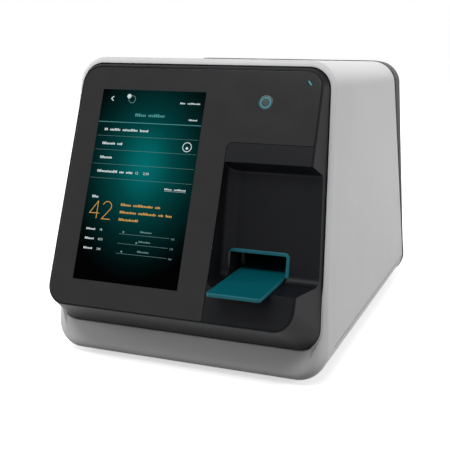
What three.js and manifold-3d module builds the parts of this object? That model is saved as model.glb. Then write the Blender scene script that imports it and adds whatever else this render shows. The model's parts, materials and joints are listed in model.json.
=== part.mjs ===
// Bench immunoassay analyzer: a pale wrap-round housing, a dark wedge-shaped fascia with a portrait
// display, and a loading recess where a motor-driven tray carries the test cartridge in and out.
// Millimetres, +Z up. The front faces -Y, and +X is to the right of someone who faces it.
// The origin is the middle of the part's outline, on the surface that the feet stand on.

import * as THREE from 'three';
import { mergeVertices } from 'three/addons/utils/BufferGeometryUtils.js';
import Module from 'manifold-3d';

const wasm = await Module();
wasm.setup();

const DEG = Math.PI / 180;
const TURN = 2 * Math.PI;

// Clearances that every piece shares
const SEAT_GAP = 0.3; // between pieces that seat on each other
const RUN_GAP = 0.4; // round pieces that slide or turn
const OVERRUN = 3; // how far a cut runs past the face that it opens

// Housing: depths and widths are stated at the reference height
const REF_HEIGHT = 57;
const FOOT_HEIGHT = 4;
const HALF_WIDTH = 110.4;
const SIDE_DRAFT_SHARE = 0.043; // width lost on each side for each unit of height
const TOP_HEIGHT = 233.3; // of the top surface, above the front reference line
const TOP_FALL_SHARE = 0.0445; // height that the top loses for each unit of depth
const RIM_LEAN = 11.95 * DEG;
const COVER_DEPTH = 13.5; // of the rear cover behind the shell, at the reference height
const SHELL_REAR_LEAN = -14.43 * DEG;
const BACK_DEPTH = 303.3;
const BACK_LEAN = -7.63 * DEG;
const LOW_RADIUS = 22;
const TOP_RADIUS = 20;
const EDGE_RADIUS = 2.5; // round of the shell's front edge
const CHIN_RADIUS = 11; // the same round at the foot of the front
const CHIN_ROUND_TOP = 75; // above this height the edge has its small round
const WALL = 3;
const CORNER_STEPS = 6;

// Fascia: a wedge from the seam in the shell's front to a flat face that leans further back
const RIM_WIDTH = 3.5;
const TOP_RIM = 4.35;
const CHIN_HEIGHT = 24.1;
const SEAM_RADIUS = 16.5;
const SEAM_GAP = 0.5;
const SPIGOT = 6;
const FACE_LEAN = 22.45 * DEG;
const NOSE_REACH = 39;
const FACE_INSET = 13.4;
const FACE_TOP_DROP = 1.3;
const UNDERCUT_RISE = 24.3;
const FACE_RADIUS = 14.5;
const FACE_EDGE = 1.2;
const FACE_WALL = 5;

// Display and cover glass, with heights measured along the leaning face
const DISPLAY_SIDE_MARGIN = 19.8;
const DISPLAY_FOOT_MARGIN = 20.8;
const DISPLAY_TOP_MARGIN = 19.45;
const COLUMN_MARGIN = 21.7; // from the display to the recess
const GLASS_THICKNESS = 2;
const GLASS_MARGIN = 1.6;
const GLASS_RADIUS = 13;
const GLASS_INNER_RADIUS = 4.5;
const GLASS_CORNER = 0.8;
const PANEL_BORDER = 6.3;
const PANEL_THICKNESS = 5;
const FRAME_BORDER = 13;
const FRAME_SHEET = 1.5;
const FRAME_BOSS_RADIUS = 3.5;
const DISPLAY_BOARD_WIDTH = 70;
const DISPLAY_BOARD_HEIGHT = 46;
const BOARD_THICKNESS = 1.6;
const LIGHT_LENGTH = 4.6;
const LIGHT_WIDTH = 1.7;
const LIGHT_CORNER = 0.7;
const LIGHT_TURN = 52 * DEG;
const LIGHT_SIDE_MARGIN = 9;
const LIGHT_TOP_MARGIN = 17;
const READY_RADIUS = 5.5;
const READY_SIDE_MARGIN = 39.9;
const READY_TOP_MARGIN = 32.5;

// Loading recess, open at the fascia's right side
const SHELF_HEIGHT = 76.4;
const RECESS_WIDTH = 66.6; // as far as the face's right edge
const RECESS_DROP = 65.1; // from the face's upper edge to the recess
const BROW_HEIGHT = 13.4;
const BROW_DROP = 7.9;
const RECESS_STANDOFF = 4.8; // of its back wall, ahead of the seam's plane
const RECESS_WALL = 3;
const RECESS_FILLET = 10; // between the recess's left wall and its back wall

// Cartridge slot and tray
const TRAY_SIDE_OFFSET = 28.1; // from the recess's left wall to the tray's middle
const TRAY_WIDTH = 39.6;
const TRAY_LENGTH = 134;
const TRAY_REACH = 52;
const TRAY_THICKNESS = 2.9;
const TRAY_CORNER = 2.5;
const TRAY_REAR_CORNER = 1;
const SLOT_LEFT_CLEARANCE = 2.8;
const SLOT_RIGHT_CLEARANCE = 0.6;
const SLOT_HEIGHT = 18.2;
const LINER_WALL = 2.1;
const LINER_DEPTH = 26;
const LINER_PROUD = 0.6;
const LINER_CORNER = 3.4;

// Tray drive, on the deck of the mechanism frame
const TRAY_TRAVEL = 54;
const CARRIAGE_WIDTH = 30;
const CARRIAGE_LENGTH = 30;
const CARRIAGE_HEIGHT = 18;
const CARRIAGE_LIFT = 1.5;
const RAIL_SPACING = 21;
const RAIL_WIDTH = 4;
const RAIL_HEIGHT = 6;
const TRAY_SCREW_RADIUS = 3;
const TRAY_MOTOR_SIZE = 22;
const TRAY_MOTOR_LENGTH = 28;
const MOTOR_BORE_DEPTH = 8;
const BEARING_LENGTH = 8;
const BEARING_WIDTH = 17;
const BEARING_TOP = 2; // between the bearing and the tray above it
const CARRIAGE_CLEARANCE = 4; // left at both ends of the carriage's travel
const SENSOR_WIDTH = 6;
const SENSOR_LENGTH = 12;
const SENSOR_HEIGHT = 9;

// Mechanism frame
const DECK_LEFT_REACH = 43.5; // from the tray's middle
const DECK_RIGHT_REACH = 36.5;
const DECK_REAR_MARGIN = 74; // from the deck to the end of the chassis floor
const DECK_START = 30; // behind the front reference line
const DECK_SHEET = 2;

// Shutter over the slot
const SHUTTER_SHEET = 1.6;
const SHUTTER_HEIGHT = 20;
const SHUTTER_SIDE_LAP = 3;
const SHUTTER_TRAVEL = 14.9;
const SHUTTER_LIFT = 1; // of the open shutter above the slot
const SHUTTER_POST_WIDTH = 5;
const SHUTTER_POST_DEPTH = 6;
const SHUTTER_GROOVE_DEPTH = 2.2;
const SHUTTER_BRIDGE = 4;
const SHUTTER_STEM_WIDTH = 4;
const SHUTTER_STEM_HOLD = 3; // left in the actuator while the shutter is shut
const ACTUATOR_WIDTH = 20;
const ACTUATOR_DEPTH = 14;
const ACTUATOR_HEIGHT = 26;

// Press that pushes on the cartridge
const PRESS_OFFSET = 92; // behind the front reference line
const PRESS_SPACING = 61;
const PRESS_ROD_RADIUS = 3;
const PRESS_BEAM_DROP = 75.3; // from the top's height to the underside of the beam
const PRESS_BEAM_THICKNESS = 8;
const PRESS_BEAM_DEPTH = 16;
const PRESS_BEAM_OVERHANG = 8;
const PRESS_HEAD_THICKNESS = 8;
const PRESS_HEAD_DEPTH = 13;
const PRESS_LIFT = 14.5; // of the raised pad above the tray
const PRESS_PAD_HEIGHT = 10;
const PRESS_PAD_WIDTH = 24;
const PRESS_PAD_DEPTH = 20;
const PRESS_SCREW_RADIUS = 2.5;
const PRESS_SCREW_DEPTH = 13; // of the bore in the head
const PRESS_MOTOR_SIZE = 28;
const PRESS_MOTOR_HEIGHT = 26;

// Reader over the parked cartridge
const READER_OFFSET = 110;
const READER_LENGTH = 30;
const READER_LEG = 6;
const READER_SIDE_CLEARANCE = 5;
const READER_LIFT = 14; // of its underside above the tray
const READER_HEIGHT = 34;
const READER_BORE_RADIUS = 9;
const CAMERA_RADIUS = 12;
const CAMERA_HEIGHT = 22;
const HEATER_THICKNESS = 5;
const HEATER_MARGIN = 4;

// Base and chassis
const BASE_SEAM_HEIGHT = 24.5;
const CHIN_DEPTH = 21; // of the shell's foot, behind the front reference line
const BOSS_HEIGHT = 7;
const BOSS_RADIUS = 5;
const FLOOR_SHEET = 1.5;
const FLOOR_SIDE_MARGIN = 13.4; // inside the housing's widest half width
const FLOOR_FRONT = 28;
const FLOOR_REAR_MARGIN = 5.8; // ahead of the shell's rear edge
const FLOOR_BOSS_INSET = 9;
const STANDOFF_HEIGHT = 5;
const STANDOFF_RADIUS = 3;
const FOOT_RADIUS = 9;
const FOOT_POCKET = 1.2;
const FOOT_SIDE_MARGIN = 22.4;
const FOOT_FRONT = 36;
const FOOT_REAR_MARGIN = 3.8;
const FOOT_TAPER = 1;

// Electronics
const BOARD_SIDE_MARGIN = 1; // from the boards to the edge of the chassis floor
const MAIN_BOARD_DECK_GAP = 21;
const MAIN_BOARD_FRONT = 62;
const MAIN_BOARD_SUPPLY_GAP = 8;
const BOARD_HOLE_INSET = 5;
const HEAT_SINK_SIZE = 38;
const HEAT_SINK_BASE = 3;
const HEAT_SINK_HEIGHT = 15;
const HEAT_SINK_FINS = 6;
const HEAT_SINK_FIN = 1.6;
const SUPPLY_DECK_GAP = 33;
const SUPPLY_LENGTH = 66;
const SUPPLY_HEIGHT = 34;
const SUPPLY_REAR_MARGIN = 16;
const REAR_BOARD_REACH = 51; // to the left of the network port's middle
const REAR_BOARD_WIDTH = 62;
const REAR_BOARD_LENGTH = 66;
const REAR_BOARD_OVERHANG = 10; // past the end of the chassis floor
const SPEAKER_RADIUS = 12;
const SPEAKER_HEIGHT = 9;
const SPEAKER_SIDE_MARGIN = 50.4;
const SPEAKER_OFFSET = 43;

// Rear cover, with heights along its leaning back measured from the reference height
const COVER_PROUD = 0.7; // of the cover beyond the housing
const COVER_WALL = 4.9;
const COVER_INSET = 5.5; // of its hollow, from the housing's outline
const COVER_LIP = 6;
const BACK_RADIUS = 12;
const FAN_SIZE = 60;
const FAN_DEPTH = 15;
const FAN_SIDE_MARGIN = 64.4;
const FAN_DROP = 81.3; // below the back's upper edge
const FAN_RIM = 2;
const FAN_CORNER = 3;
const FAN_HUB_RADIUS = 12;
const FAN_SPOKE = 3;
const FAN_WEB = 2.5;
const FAN_BLADES = 7;
const FAN_BLADE_SHEET = 1.4;
const FAN_BLADE_PITCH = 38 * DEG;
const FAN_SPOKES = 3;
const FAN_SPOKE_START = 30 * DEG;
const SLOT_BAR_PITCH = 6.4;
const SLOT_OPENING = 3.2;
const VENT_SIDE_MARGIN = 26.4;
const VENT_FAN_GAP = 34;
const VENT_DROP = 107.3;
const VENT_COUNT = 9;
const INLET_SIDE_MARGIN = 48.4;
const INLET_RISE = -17;
const INLET_WIDTH = 27;
const INLET_HEIGHT = 19.8;
const INLET_DEPTH = 21;
const INLET_FLANGE = 2;
const INLET_LIP = 2.4;
const INLET_SOCKET_WIDTH = 22;
const INLET_SOCKET_HEIGHT = 14;
const INLET_SOCKET_DEPTH = 16;
const SWITCH_SPACING = 32; // from the inlet
const SWITCH_WIDTH = 13;
const SWITCH_HEIGHT = 19.4;
const SWITCH_DEPTH = 15;
const SWITCH_LIP = 1.2;
const ROCKER_WIDTH = 8.8;
const ROCKER_HEIGHT = 14.4;
const ROCKER_PROUD = 1.6;
const ROCKER_DIP = 1.2;
const ROCKER_TAPER = 1.2;
const ROCKER_DEPTH = 4;
const ROCKER_PIVOT = 3;
const ROCKER_TILT = 8 * DEG;
const ROCKER_SWEEP_CLEARANCE = 1.2;
const USB_WIDTH = 14.6;
const USB_HEIGHT = 15.6;
const USB_SOCKET_WIDTH = 12.2;
const USB_SOCKET_HEIGHT = 5.2;
const PORT_SPACING = 28; // between the data ports
const NETWORK_WIDTH = 16;
const NETWORK_HEIGHT = 13.6;
const NETWORK_SOCKET_WIDTH = 11.8;
const NETWORK_SOCKET_HEIGHT = 8;
const NETWORK_SIDE_MARGIN = 44.4;
const PORT_LENGTH = 20;
const PORT_SOCKET_DEPTH = 12;
const PORT_RECESS = 1; // of the ports' mouths inside the back wall's surface

// Screws
const SCREW_RADIUS = 1.5;
const SCREW_HEAD_RADIUS = 3;
const SCREW_HEAD_HEIGHT = 1.8;
const REAR_SCREW_LENGTH = 22;
const REAR_SCREW_RECESS = 2.2;
const REAR_BOSS_RADIUS = 4.5;
const REAR_BOSS_LENGTH = 44;
const UPPER_RIB_HEIGHT = 30; // ample, as the shell's own skin cuts it off
const REAR_SCREW_MARGIN = 26.4;
const UPPER_SCREW_DROP = 17.8;
const LOWER_SCREW_HEIGHT = 27;
const FLOOR_SCREW_LENGTH = 6;

// Places that follow from the sizes above
const baseZ = FOOT_HEIGHT;
const shellDepth = BACK_DEPTH - COVER_DEPTH;
const sideX = (z) => HALF_WIDTH - SIDE_DRAFT_SHARE * (z - REF_HEIGHT);
const leaningPlane = (offset, lean) => (z) => offset + (z - REF_HEIGHT) * Math.tan(lean);
const rimY = leaningPlane(0, RIM_LEAN);
const faceY = leaningPlane(-NOSE_REACH, FACE_LEAN);
const recessY = leaningPlane(-RECESS_STANDOFF, RIM_LEAN);
const shellRearY = leaningPlane(shellDepth, SHELL_REAR_LEAN);
const backY = leaningPlane(BACK_DEPTH, BACK_LEAN);

// Height at which a leaning plane meets the sloping top
function topOfPlane(offset, lean) {
  const slope = Math.tan(lean);
  const rise = TOP_HEIGHT - TOP_FALL_SHARE * offset + TOP_FALL_SHARE * slope * REF_HEIGHT;
  return rise / (1 + TOP_FALL_SHARE * slope);
}

const rimTop = topOfPlane(0, RIM_LEAN);
const shellRearTop = topOfPlane(shellDepth, SHELL_REAR_LEAN);
const backTop = topOfPlane(BACK_DEPTH, BACK_LEAN);
const seamLow = baseZ + CHIN_HEIGHT;
const seamHigh = rimTop - TOP_RIM;
const faceLow = seamLow + UNDERCUT_RISE;
const faceHigh = seamHigh - FACE_TOP_DROP;
const faceHalfWidth = HALF_WIDTH - FACE_INSET;

// Heights along the leaning face and the leaning back
const alongFace = (z) => (z - REF_HEIGHT) / Math.cos(FACE_LEAN);
const alongBack = (z) => (z - REF_HEIGHT) / Math.cos(BACK_LEAN);
const glassLeft = -faceHalfWidth + GLASS_MARGIN;
const glassRight = faceHalfWidth - GLASS_MARGIN;
const glassLow = alongFace(faceLow) + GLASS_MARGIN;
const glassHigh = alongFace(faceHigh) - GLASS_MARGIN;
const columnRight = faceHalfWidth - RECESS_WIDTH;
const displayLeft = -faceHalfWidth + DISPLAY_SIDE_MARGIN;
const displayRight = columnRight - COLUMN_MARGIN;
const displayLow = alongFace(faceLow) + DISPLAY_FOOT_MARGIN;
const displayHigh = alongFace(faceHigh) - DISPLAY_TOP_MARGIN;
const backEdge = alongBack(backTop);

const recessTop = faceHigh - RECESS_DROP;
const recessBackTop = recessTop - BROW_DROP;
const bandLow = alongFace(recessTop + BROW_HEIGHT);

const trayBottom = SHELF_HEIGHT + SEAT_GAP;
const trayTop = trayBottom + TRAY_THICKNESS;
const trayX = columnRight + TRAY_SIDE_OFFSET;
const trayLeft = trayX - TRAY_WIDTH / 2;
const trayRight = trayX + TRAY_WIDTH / 2;
const trayFront = -TRAY_REACH;
const trayRear = trayFront + TRAY_LENGTH;
const slotLeft = trayLeft - SLOT_LEFT_CLEARANCE;
const slotRight = trayRight + SLOT_RIGHT_CLEARANCE;
const slotTop = SHELF_HEIGHT + SLOT_HEIGHT;

const carriageTop = trayBottom - SEAT_GAP;
const carriageBottom = carriageTop - CARRIAGE_HEIGHT;
const railBottom = carriageBottom - CARRIAGE_LIFT;
const railTop = railBottom + RAIL_HEIGHT;
const deckTop = railBottom - SEAT_GAP;
const floorRear = shellDepth - FLOOR_REAR_MARGIN;
const deckFront = DECK_START;
const deckRear = floorRear - DECK_REAR_MARGIN;
const deckLeft = trayX - DECK_LEFT_REACH;
const deckRight = trayX + DECK_RIGHT_REACH;
const trayScrewZ = deckTop + SEAT_GAP + TRAY_MOTOR_SIZE / 2;
const carriageFront = trayRear - CARRIAGE_LENGTH;
const bearingRear = carriageFront - CARRIAGE_CLEARANCE;
const bearingFront = bearingRear - BEARING_LENGTH;
const mountFront = trayRear + TRAY_TRAVEL + CARRIAGE_CLEARANCE;
const mountRear = mountFront + BEARING_LENGTH;
const trayMotorFront = mountRear + SEAT_GAP;

const floorBottom = baseZ + WALL + BOSS_HEIGHT + SEAT_GAP;
const floorTop = floorBottom + FLOOR_SHEET;
const boardBottom = floorTop + STANDOFF_HEIGHT + SEAT_GAP;
const boardTop = boardBottom + BOARD_THICKNESS;
const floorHalfWidth = HALF_WIDTH - FLOOR_SIDE_MARGIN;
const screwSide = HALF_WIDTH - REAR_SCREW_MARGIN;
const footSide = HALF_WIDTH - FOOT_SIDE_MARGIN;
const inletX = INLET_SIDE_MARGIN - HALF_WIDTH;
const switchX = inletX + SWITCH_SPACING;
const networkX = HALF_WIDTH - NETWORK_SIDE_MARGIN;
const usbX = networkX - PORT_SPACING;
const fanX = HALF_WIDTH - FAN_SIDE_MARGIN;
const fanRise = backEdge - FAN_DROP;
const ventLeft = VENT_SIDE_MARGIN - HALF_WIDTH;
const ventRight = fanX - FAN_SIZE / 2 - VENT_FAN_GAP;

// Materials
const finish = (color, roughness, metalness = 0) =>
  new THREE.MeshStandardMaterial({ color, roughness, metalness });
const paleHousing = finish(0xc9c8cb, 0.42);
const darkCover = finish(0x4a4b4e, 0.5);
const darkFascia = finish(0x303134, 0.48);
const blackGlass = finish(0x26272a, 0.12);
const displayFinish = finish(0x06262b, 0.1);
const tealPlastic = finish(0x0f7f8c, 0.35);
const tealLight = finish(0x12a3b4, 0.3);
const whitePlastic = finish(0xdedee0, 0.5);
const blackPlastic = finish(0x17181a, 0.5);
const rubber = finish(0x1b1b1c, 0.9);
const steel = finish(0xa9adb2, 0.35, 0.9);
const zincSheet = finish(0x9fa4a8, 0.45, 0.8);
const aluminium = finish(0xb9bcc0, 0.4, 0.85);
const boardGreen = finish(0x1d5a3a, 0.55);
const cablePlastic = finish(0xd6d3c8, 0.6);

// A box between low and high values on each axis
function block([x0, x1], [y0, y1], [z0, z1]) {
  const box = new THREE.BoxGeometry(x1 - x0, y1 - y0, z1 - z0);
  return solid(box.translate((x0 + x1) / 2, (y0 + y1) / 2, (z0 + z1) / 2));
}

// Round bars: centre on the two other axes, then the low and high ends
function barY(radius, [x, z], [y0, y1], sides = 16) {
  const bar = new THREE.CylinderGeometry(radius, radius, y1 - y0, sides);
  return solid(bar.translate(x, (y0 + y1) / 2, z));
}

function barZ(radius, [x, y], [z0, z1], sides = 16) {
  const bar = new THREE.CylinderGeometry(radius, radius, z1 - z0, sides);
  return solid(bar.rotateX(Math.PI / 2).translate(x, y, (z0 + z1) / 2));
}

// A closed solid from a closed mesh whose shared corners are merged
function solid(geometry) {
  const bare = geometry.clone();
  bare.deleteAttribute('normal');
  bare.deleteAttribute('uv');
  const merged = mergeVertices(bare);
  return new wasm.Manifold(new wasm.Mesh({
    numProp: 3,
    vertProperties: new Float32Array(merged.attributes.position.array),
    triVerts: new Uint32Array(merged.index.array),
  }));
}

// Low and high values of a width centred on a place
const around = (centre, width) => [centre - width / 2, centre + width / 2];

const join = (first, ...others) => others.reduce((whole, next) => whole.add(next), first);
const cut = (first, ...others) => others.reduce((rest, next) => rest.subtract(next), first);

// Polygon with rounded corners, as [x, z] points; each corner gets the same number of points
function roundedOutline(corners, radii, steps = CORNER_STEPS) {
  const outline = [];
  corners.forEach((corner, i) => {
    const here = new THREE.Vector2(...corner);
    const before = new THREE.Vector2(...corners[(i + corners.length - 1) % corners.length]);
    const after = new THREE.Vector2(...corners[(i + 1) % corners.length]);
    const back = before.sub(here).normalize();
    const ahead = after.sub(here).normalize();
    const half = Math.acos(back.dot(ahead)) / 2;
    const reach = radii[i] / Math.tan(half);
    const inward = back.clone().add(ahead).normalize();
    const centre = inward.multiplyScalar(radii[i] / Math.sin(half)).add(here);
    const start = back.multiplyScalar(reach).add(here).sub(centre).angle();
    const end = ahead.multiplyScalar(reach).add(here).sub(centre).angle();
    const sweep = THREE.MathUtils.euclideanModulo(end - start + Math.PI, TURN) - Math.PI;
    for (let k = 0; k <= steps; k += 1) {
      const angle = start + (sweep * k) / steps;
      outline.push([centre.x + radii[i] * Math.cos(angle), centre.y + radii[i] * Math.sin(angle)]);
    }
  });
  return outline;
}

function rectangle([x0, x1], [z0, z1]) {
  return [[x0, z0], [x1, z0], [x1, z1], [x0, z1]];
}

function roundedRectangle(xs, zs, radius, steps = CORNER_STEPS) {
  return roundedOutline(rectangle(xs, zs), Array(4).fill(radius), steps);
}

// A plate with its front at y = 0 and its thickness towards +Y, from an outline in X and Z
function plate(outline, thickness) {
  const shape = new THREE.Shape(outline.map(([x, z]) => new THREE.Vector2(x, z)));
  const extrusion = new THREE.ExtrudeGeometry(shape, { depth: thickness, bevelEnabled: false });
  return solid(extrusion.rotateX(Math.PI / 2).translate(0, thickness, 0));
}

// A bar along X with the given outline in Y and Z
function profileX(outline, [x0, x1]) {
  const shape = new THREE.Shape(outline.map(([y, z]) => new THREE.Vector2(y, z)));
  const extrusion = new THREE.ExtrudeGeometry(shape, { depth: x1 - x0, bevelEnabled: false });
  return solid(extrusion.rotateY(Math.PI / 2).rotateX(Math.PI / 2).translate(x0, 0, 0));
}

// A closed skin through rings of equally many points, listed from front to rear
function loft(rings) {
  const count = rings[0].length;
  const points = rings.flat();
  const faces = [];
  for (let r = 0; r + 1 < rings.length; r += 1) {
    for (let i = 0; i < count; i += 1) {
      const next = (i + 1) % count;
      const [a, b, c, d] = [r * count + i, (r + 1) * count + i, (r + 1) * count + next, r * count + next];
      faces.push(a, b, c, a, c, d);
    }
  }
  const middle = (ring) => [0, 1, 2].map((k) => ring.reduce((sum, p) => sum + p[k], 0) / count);
  const last = (rings.length - 1) * count;
  points.push(middle(rings[0]), middle(rings[rings.length - 1]));
  for (let i = 0; i < count; i += 1) {
    const next = (i + 1) % count;
    faces.push(points.length - 2, i, next, points.length - 1, last + next, last + i);
  }
  const geometry = new THREE.BufferGeometry();
  geometry.setAttribute('position', new THREE.Float32BufferAttribute(points.flat(), 3));
  geometry.setIndex(faces);
  return solid(geometry);
}

const ringOn = (outline, yAt) => outline.map(([x, z]) => [x, yAt(z), z]);

// Moves a solid from the face's own axes (x, depth behind the face, height along it) to the part's
const faceMatrix = new THREE.Matrix4()
  .makeTranslation(0, -NOSE_REACH, REF_HEIGHT)
  .multiply(new THREE.Matrix4().makeRotationX(-FACE_LEAN));
const onFace = (shape) => shape.transform(faceMatrix.elements);

// The same for the leaning back, where depth is negative inside the cover
const backMatrix = new THREE.Matrix4()
  .makeTranslation(0, BACK_DEPTH, REF_HEIGHT)
  .multiply(new THREE.Matrix4().makeRotationX(-BACK_LEAN));
const onBack = (shape) => shape.transform(backMatrix.elements);

const analyzer = new THREE.Group();

// Adds a solid to the assembly as a named mesh
function place(name, shape, material) {
  const { vertProperties, triVerts, numProp } = shape.getMesh();
  if (numProp !== 3) throw new Error(`${name} has more than positions`);
  const indexed = new THREE.BufferGeometry();
  indexed.setAttribute('position', new THREE.BufferAttribute(vertProperties, numProp));
  indexed.setIndex(new THREE.BufferAttribute(triVerts, 1));
  const geometry = indexed.toNonIndexed();
  geometry.computeVertexNormals();
  const mesh = new THREE.Mesh(geometry, material);
  mesh.name = name;
  analyzer.add(mesh);
}

// Front view outline of the housing, inset evenly
function bodyOutline(top, inset) {
  const low = baseZ + inset;
  const high = top - inset;
  const corners = [
    [inset - sideX(low), low], [sideX(low) - inset, low],
    [sideX(high) - inset, high], [inset - sideX(high), high],
  ];
  const lowRadius = LOW_RADIUS - inset;
  const topRadius = TOP_RADIUS - inset;
  return roundedOutline(corners, [lowRadius, lowRadius, topRadius, topRadius]);
}

// Round of the front edge at a height: small above, full at the chin
function chinShare(z) {
  return THREE.MathUtils.clamp((CHIN_ROUND_TOP - z) / (CHIN_ROUND_TOP - BASE_SEAM_HEIGHT), 0, 1);
}

// Rings of the housing's rounded front edge, for its outside (wall 0) or its inside
function frontEdgeRings(wall) {
  const radiusFor = (full) => Math.max(full - wall, 0);
  return [0, 0.5, 1].map((share) => {
    const sine = Math.sin((share * Math.PI) / 2);
    const cosine = Math.cos((share * Math.PI) / 2);
    const fineRadius = radiusFor(EDGE_RADIUS);
    const fullRadius = radiusFor(CHIN_RADIUS);
    const fine = bodyOutline(rimTop, wall + fineRadius * (1 - sine));
    const full = bodyOutline(rimTop, wall + fullRadius * (1 - sine));
    return fine.map(([x, z], i) => {
      const weight = chinShare(z);
      const edgeX = THREE.MathUtils.lerp(x, full[i][0], weight);
      const edgeZ = THREE.MathUtils.lerp(z, full[i][1], weight);
      const radius = THREE.MathUtils.lerp(fineRadius, fullRadius, weight);
      return [edgeX, rimY(edgeZ) + wall + radius * (1 - cosine), edgeZ];
    });
  });
}

const housingSolid = loft([
  ...frontEdgeRings(0),
  ringOn(bodyOutline(shellRearTop, 0), shellRearY),
]);
const housingHollow = loft([
  ...frontEdgeRings(WALL),
  ringOn(bodyOutline(shellRearTop, WALL), (z) => shellRearY(z) + OVERRUN),
]);
const farAcross = [-2 * HALF_WIDTH, 2 * HALF_WIDTH];
const farBack = 2 * BACK_DEPTH;

// Outline of the seam in the shell's front
function seamOutline(inset) {
  const low = seamLow + inset;
  const high = seamHigh - inset;
  const half = (z) => sideX(z) - RIM_WIDTH - inset;
  const corners = [[-half(low), low], [half(low), low], [half(high), high], [-half(high), high]];
  return roundedOutline(corners, Array(4).fill(SEAM_RADIUS - inset));
}

// Screw axes on the back, in its own axes
const lowerScrews = [-1, 1].map((side) => [side * screwSide, alongBack(LOWER_SCREW_HEIGHT)]);
const upperScrews = [-1, 1].map((side) => [side * screwSide, backEdge - UPPER_SCREW_DROP]);
const screwPlaces = [...lowerScrews, ...upperScrews];
const coverInside = -COVER_WALL - SEAT_GAP;
const bossDepths = (grow) => [coverInside - REAR_BOSS_LENGTH, coverInside + grow];
const rearBoss = (spot, grow) => onBack(barY(REAR_BOSS_RADIUS + grow, spot, bossDepths(grow)));
const rearScrewBore = (spot) =>
  onBack(barY(SCREW_RADIUS + SEAT_GAP, spot, [coverInside - REAR_SCREW_LENGTH, OVERRUN]));

// Rib from an upper boss to the top of the shell
const upperRib = ([x, rise], grow) => onBack(block(
  [x - WALL / 2 - grow, x + WALL / 2 + grow],
  bossDepths(grow),
  [rise, rise + UPPER_RIB_HEIGHT],
)).intersect(housingSolid);

function makeOuterShell() {
  const seamCut = loft([
    ringOn(seamOutline(0), (z) => rimY(z) - NOSE_REACH),
    ringOn(seamOutline(0), (z) => rimY(z) + CHIN_RADIUS + OVERRUN),
  ]);
  const baseCut = block(farAcross, [CHIN_DEPTH, farBack], [-OVERRUN, BASE_SEAM_HEIGHT]);
  const bosses = upperScrews.flatMap((spot) => [rearBoss(spot, 0), upperRib(spot, 0)]);
  const shell = cut(housingSolid, housingHollow, seamCut, baseCut);
  place('outer_shell', cut(join(shell, ...bosses), ...upperScrews.map(rearScrewBore)), paleHousing);
}

// Places of the four bosses that carry the chassis floor
const bossSide = floorHalfWidth - FLOOR_BOSS_INSET;
const bossPlaces = [-1, 1].flatMap((side) => [
  [side * bossSide, FLOOR_FRONT + FLOOR_BOSS_INSET],
  [side * bossSide, floorRear - FLOOR_BOSS_INSET],
]);
const footPlaces = {
  foot_front_left: [-footSide, FOOT_FRONT],
  foot_front_right: [footSide, FOOT_FRONT],
  foot_rear_left: [-footSide, shellDepth - FOOT_REAR_MARGIN],
  foot_rear_right: [footSide, shellDepth - FOOT_REAR_MARGIN],
};

function makeBasePan() {
  const front = CHIN_DEPTH + SEAT_GAP;
  const top = BASE_SEAM_HEIGHT - SEAT_GAP;
  const region = block(farAcross, [front, farBack], [0, top]);
  const hollow = housingHollow.intersect(block(farAcross, [front + WALL, farBack], [0, TOP_HEIGHT]));
  const floorFace = baseZ + WALL;
  const bossHeights = [floorFace - WALL / 2, floorFace + BOSS_HEIGHT];
  const bosses = bossPlaces.map((spot) => barZ(BOSS_RADIUS, spot, bossHeights));
  const holes = bossPlaces.map((spot) =>
    barZ(SCREW_RADIUS + SEAT_GAP, spot, [floorBottom - FLOOR_SCREW_LENGTH - SEAT_GAP, floorBottom]));
  const ribs = lowerScrews.map(([x]) => block(
    [x - WALL / 2, x + WALL / 2],
    [floorRear + WALL, shellDepth],
    [floorFace - WALL / 2, LOWER_SCREW_HEIGHT - REAR_BOSS_RADIUS],
  ));
  const screwBosses = lowerScrews.map((spot) => rearBoss(spot, 0).intersect(block(
    farAcross, [floorRear + WALL, farBack], [0, TOP_HEIGHT],
  )));
  const pockets = Object.values(footPlaces).map((spot) =>
    barZ(FOOT_RADIUS + SEAT_GAP, spot, [0, baseZ + FOOT_POCKET], 24));
  const pan = cut(housingSolid.intersect(region), hollow);
  place('base_pan', cut(
    join(pan, ...bosses, ...ribs, ...screwBosses),
    ...holes,
    ...pockets,
    ...lowerScrews.map(rearScrewBore),
  ), paleHousing);
}

function makeFeet() {
  const top = baseZ + FOOT_POCKET - SEAT_GAP;
  Object.entries(footPlaces).forEach(([name, [x, y]]) => {
    const profile = [
      [0, 0], [FOOT_RADIUS - FOOT_TAPER, 0], [FOOT_RADIUS, FOOT_TAPER], [FOOT_RADIUS, top], [0, top],
    ];
    const turned = new THREE.LatheGeometry(profile.map(([r, z]) => new THREE.Vector2(r, z)), 24);
    place(name, solid(turned.rotateX(Math.PI / 2).translate(x, y, 0)), rubber);
  });
}

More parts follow.
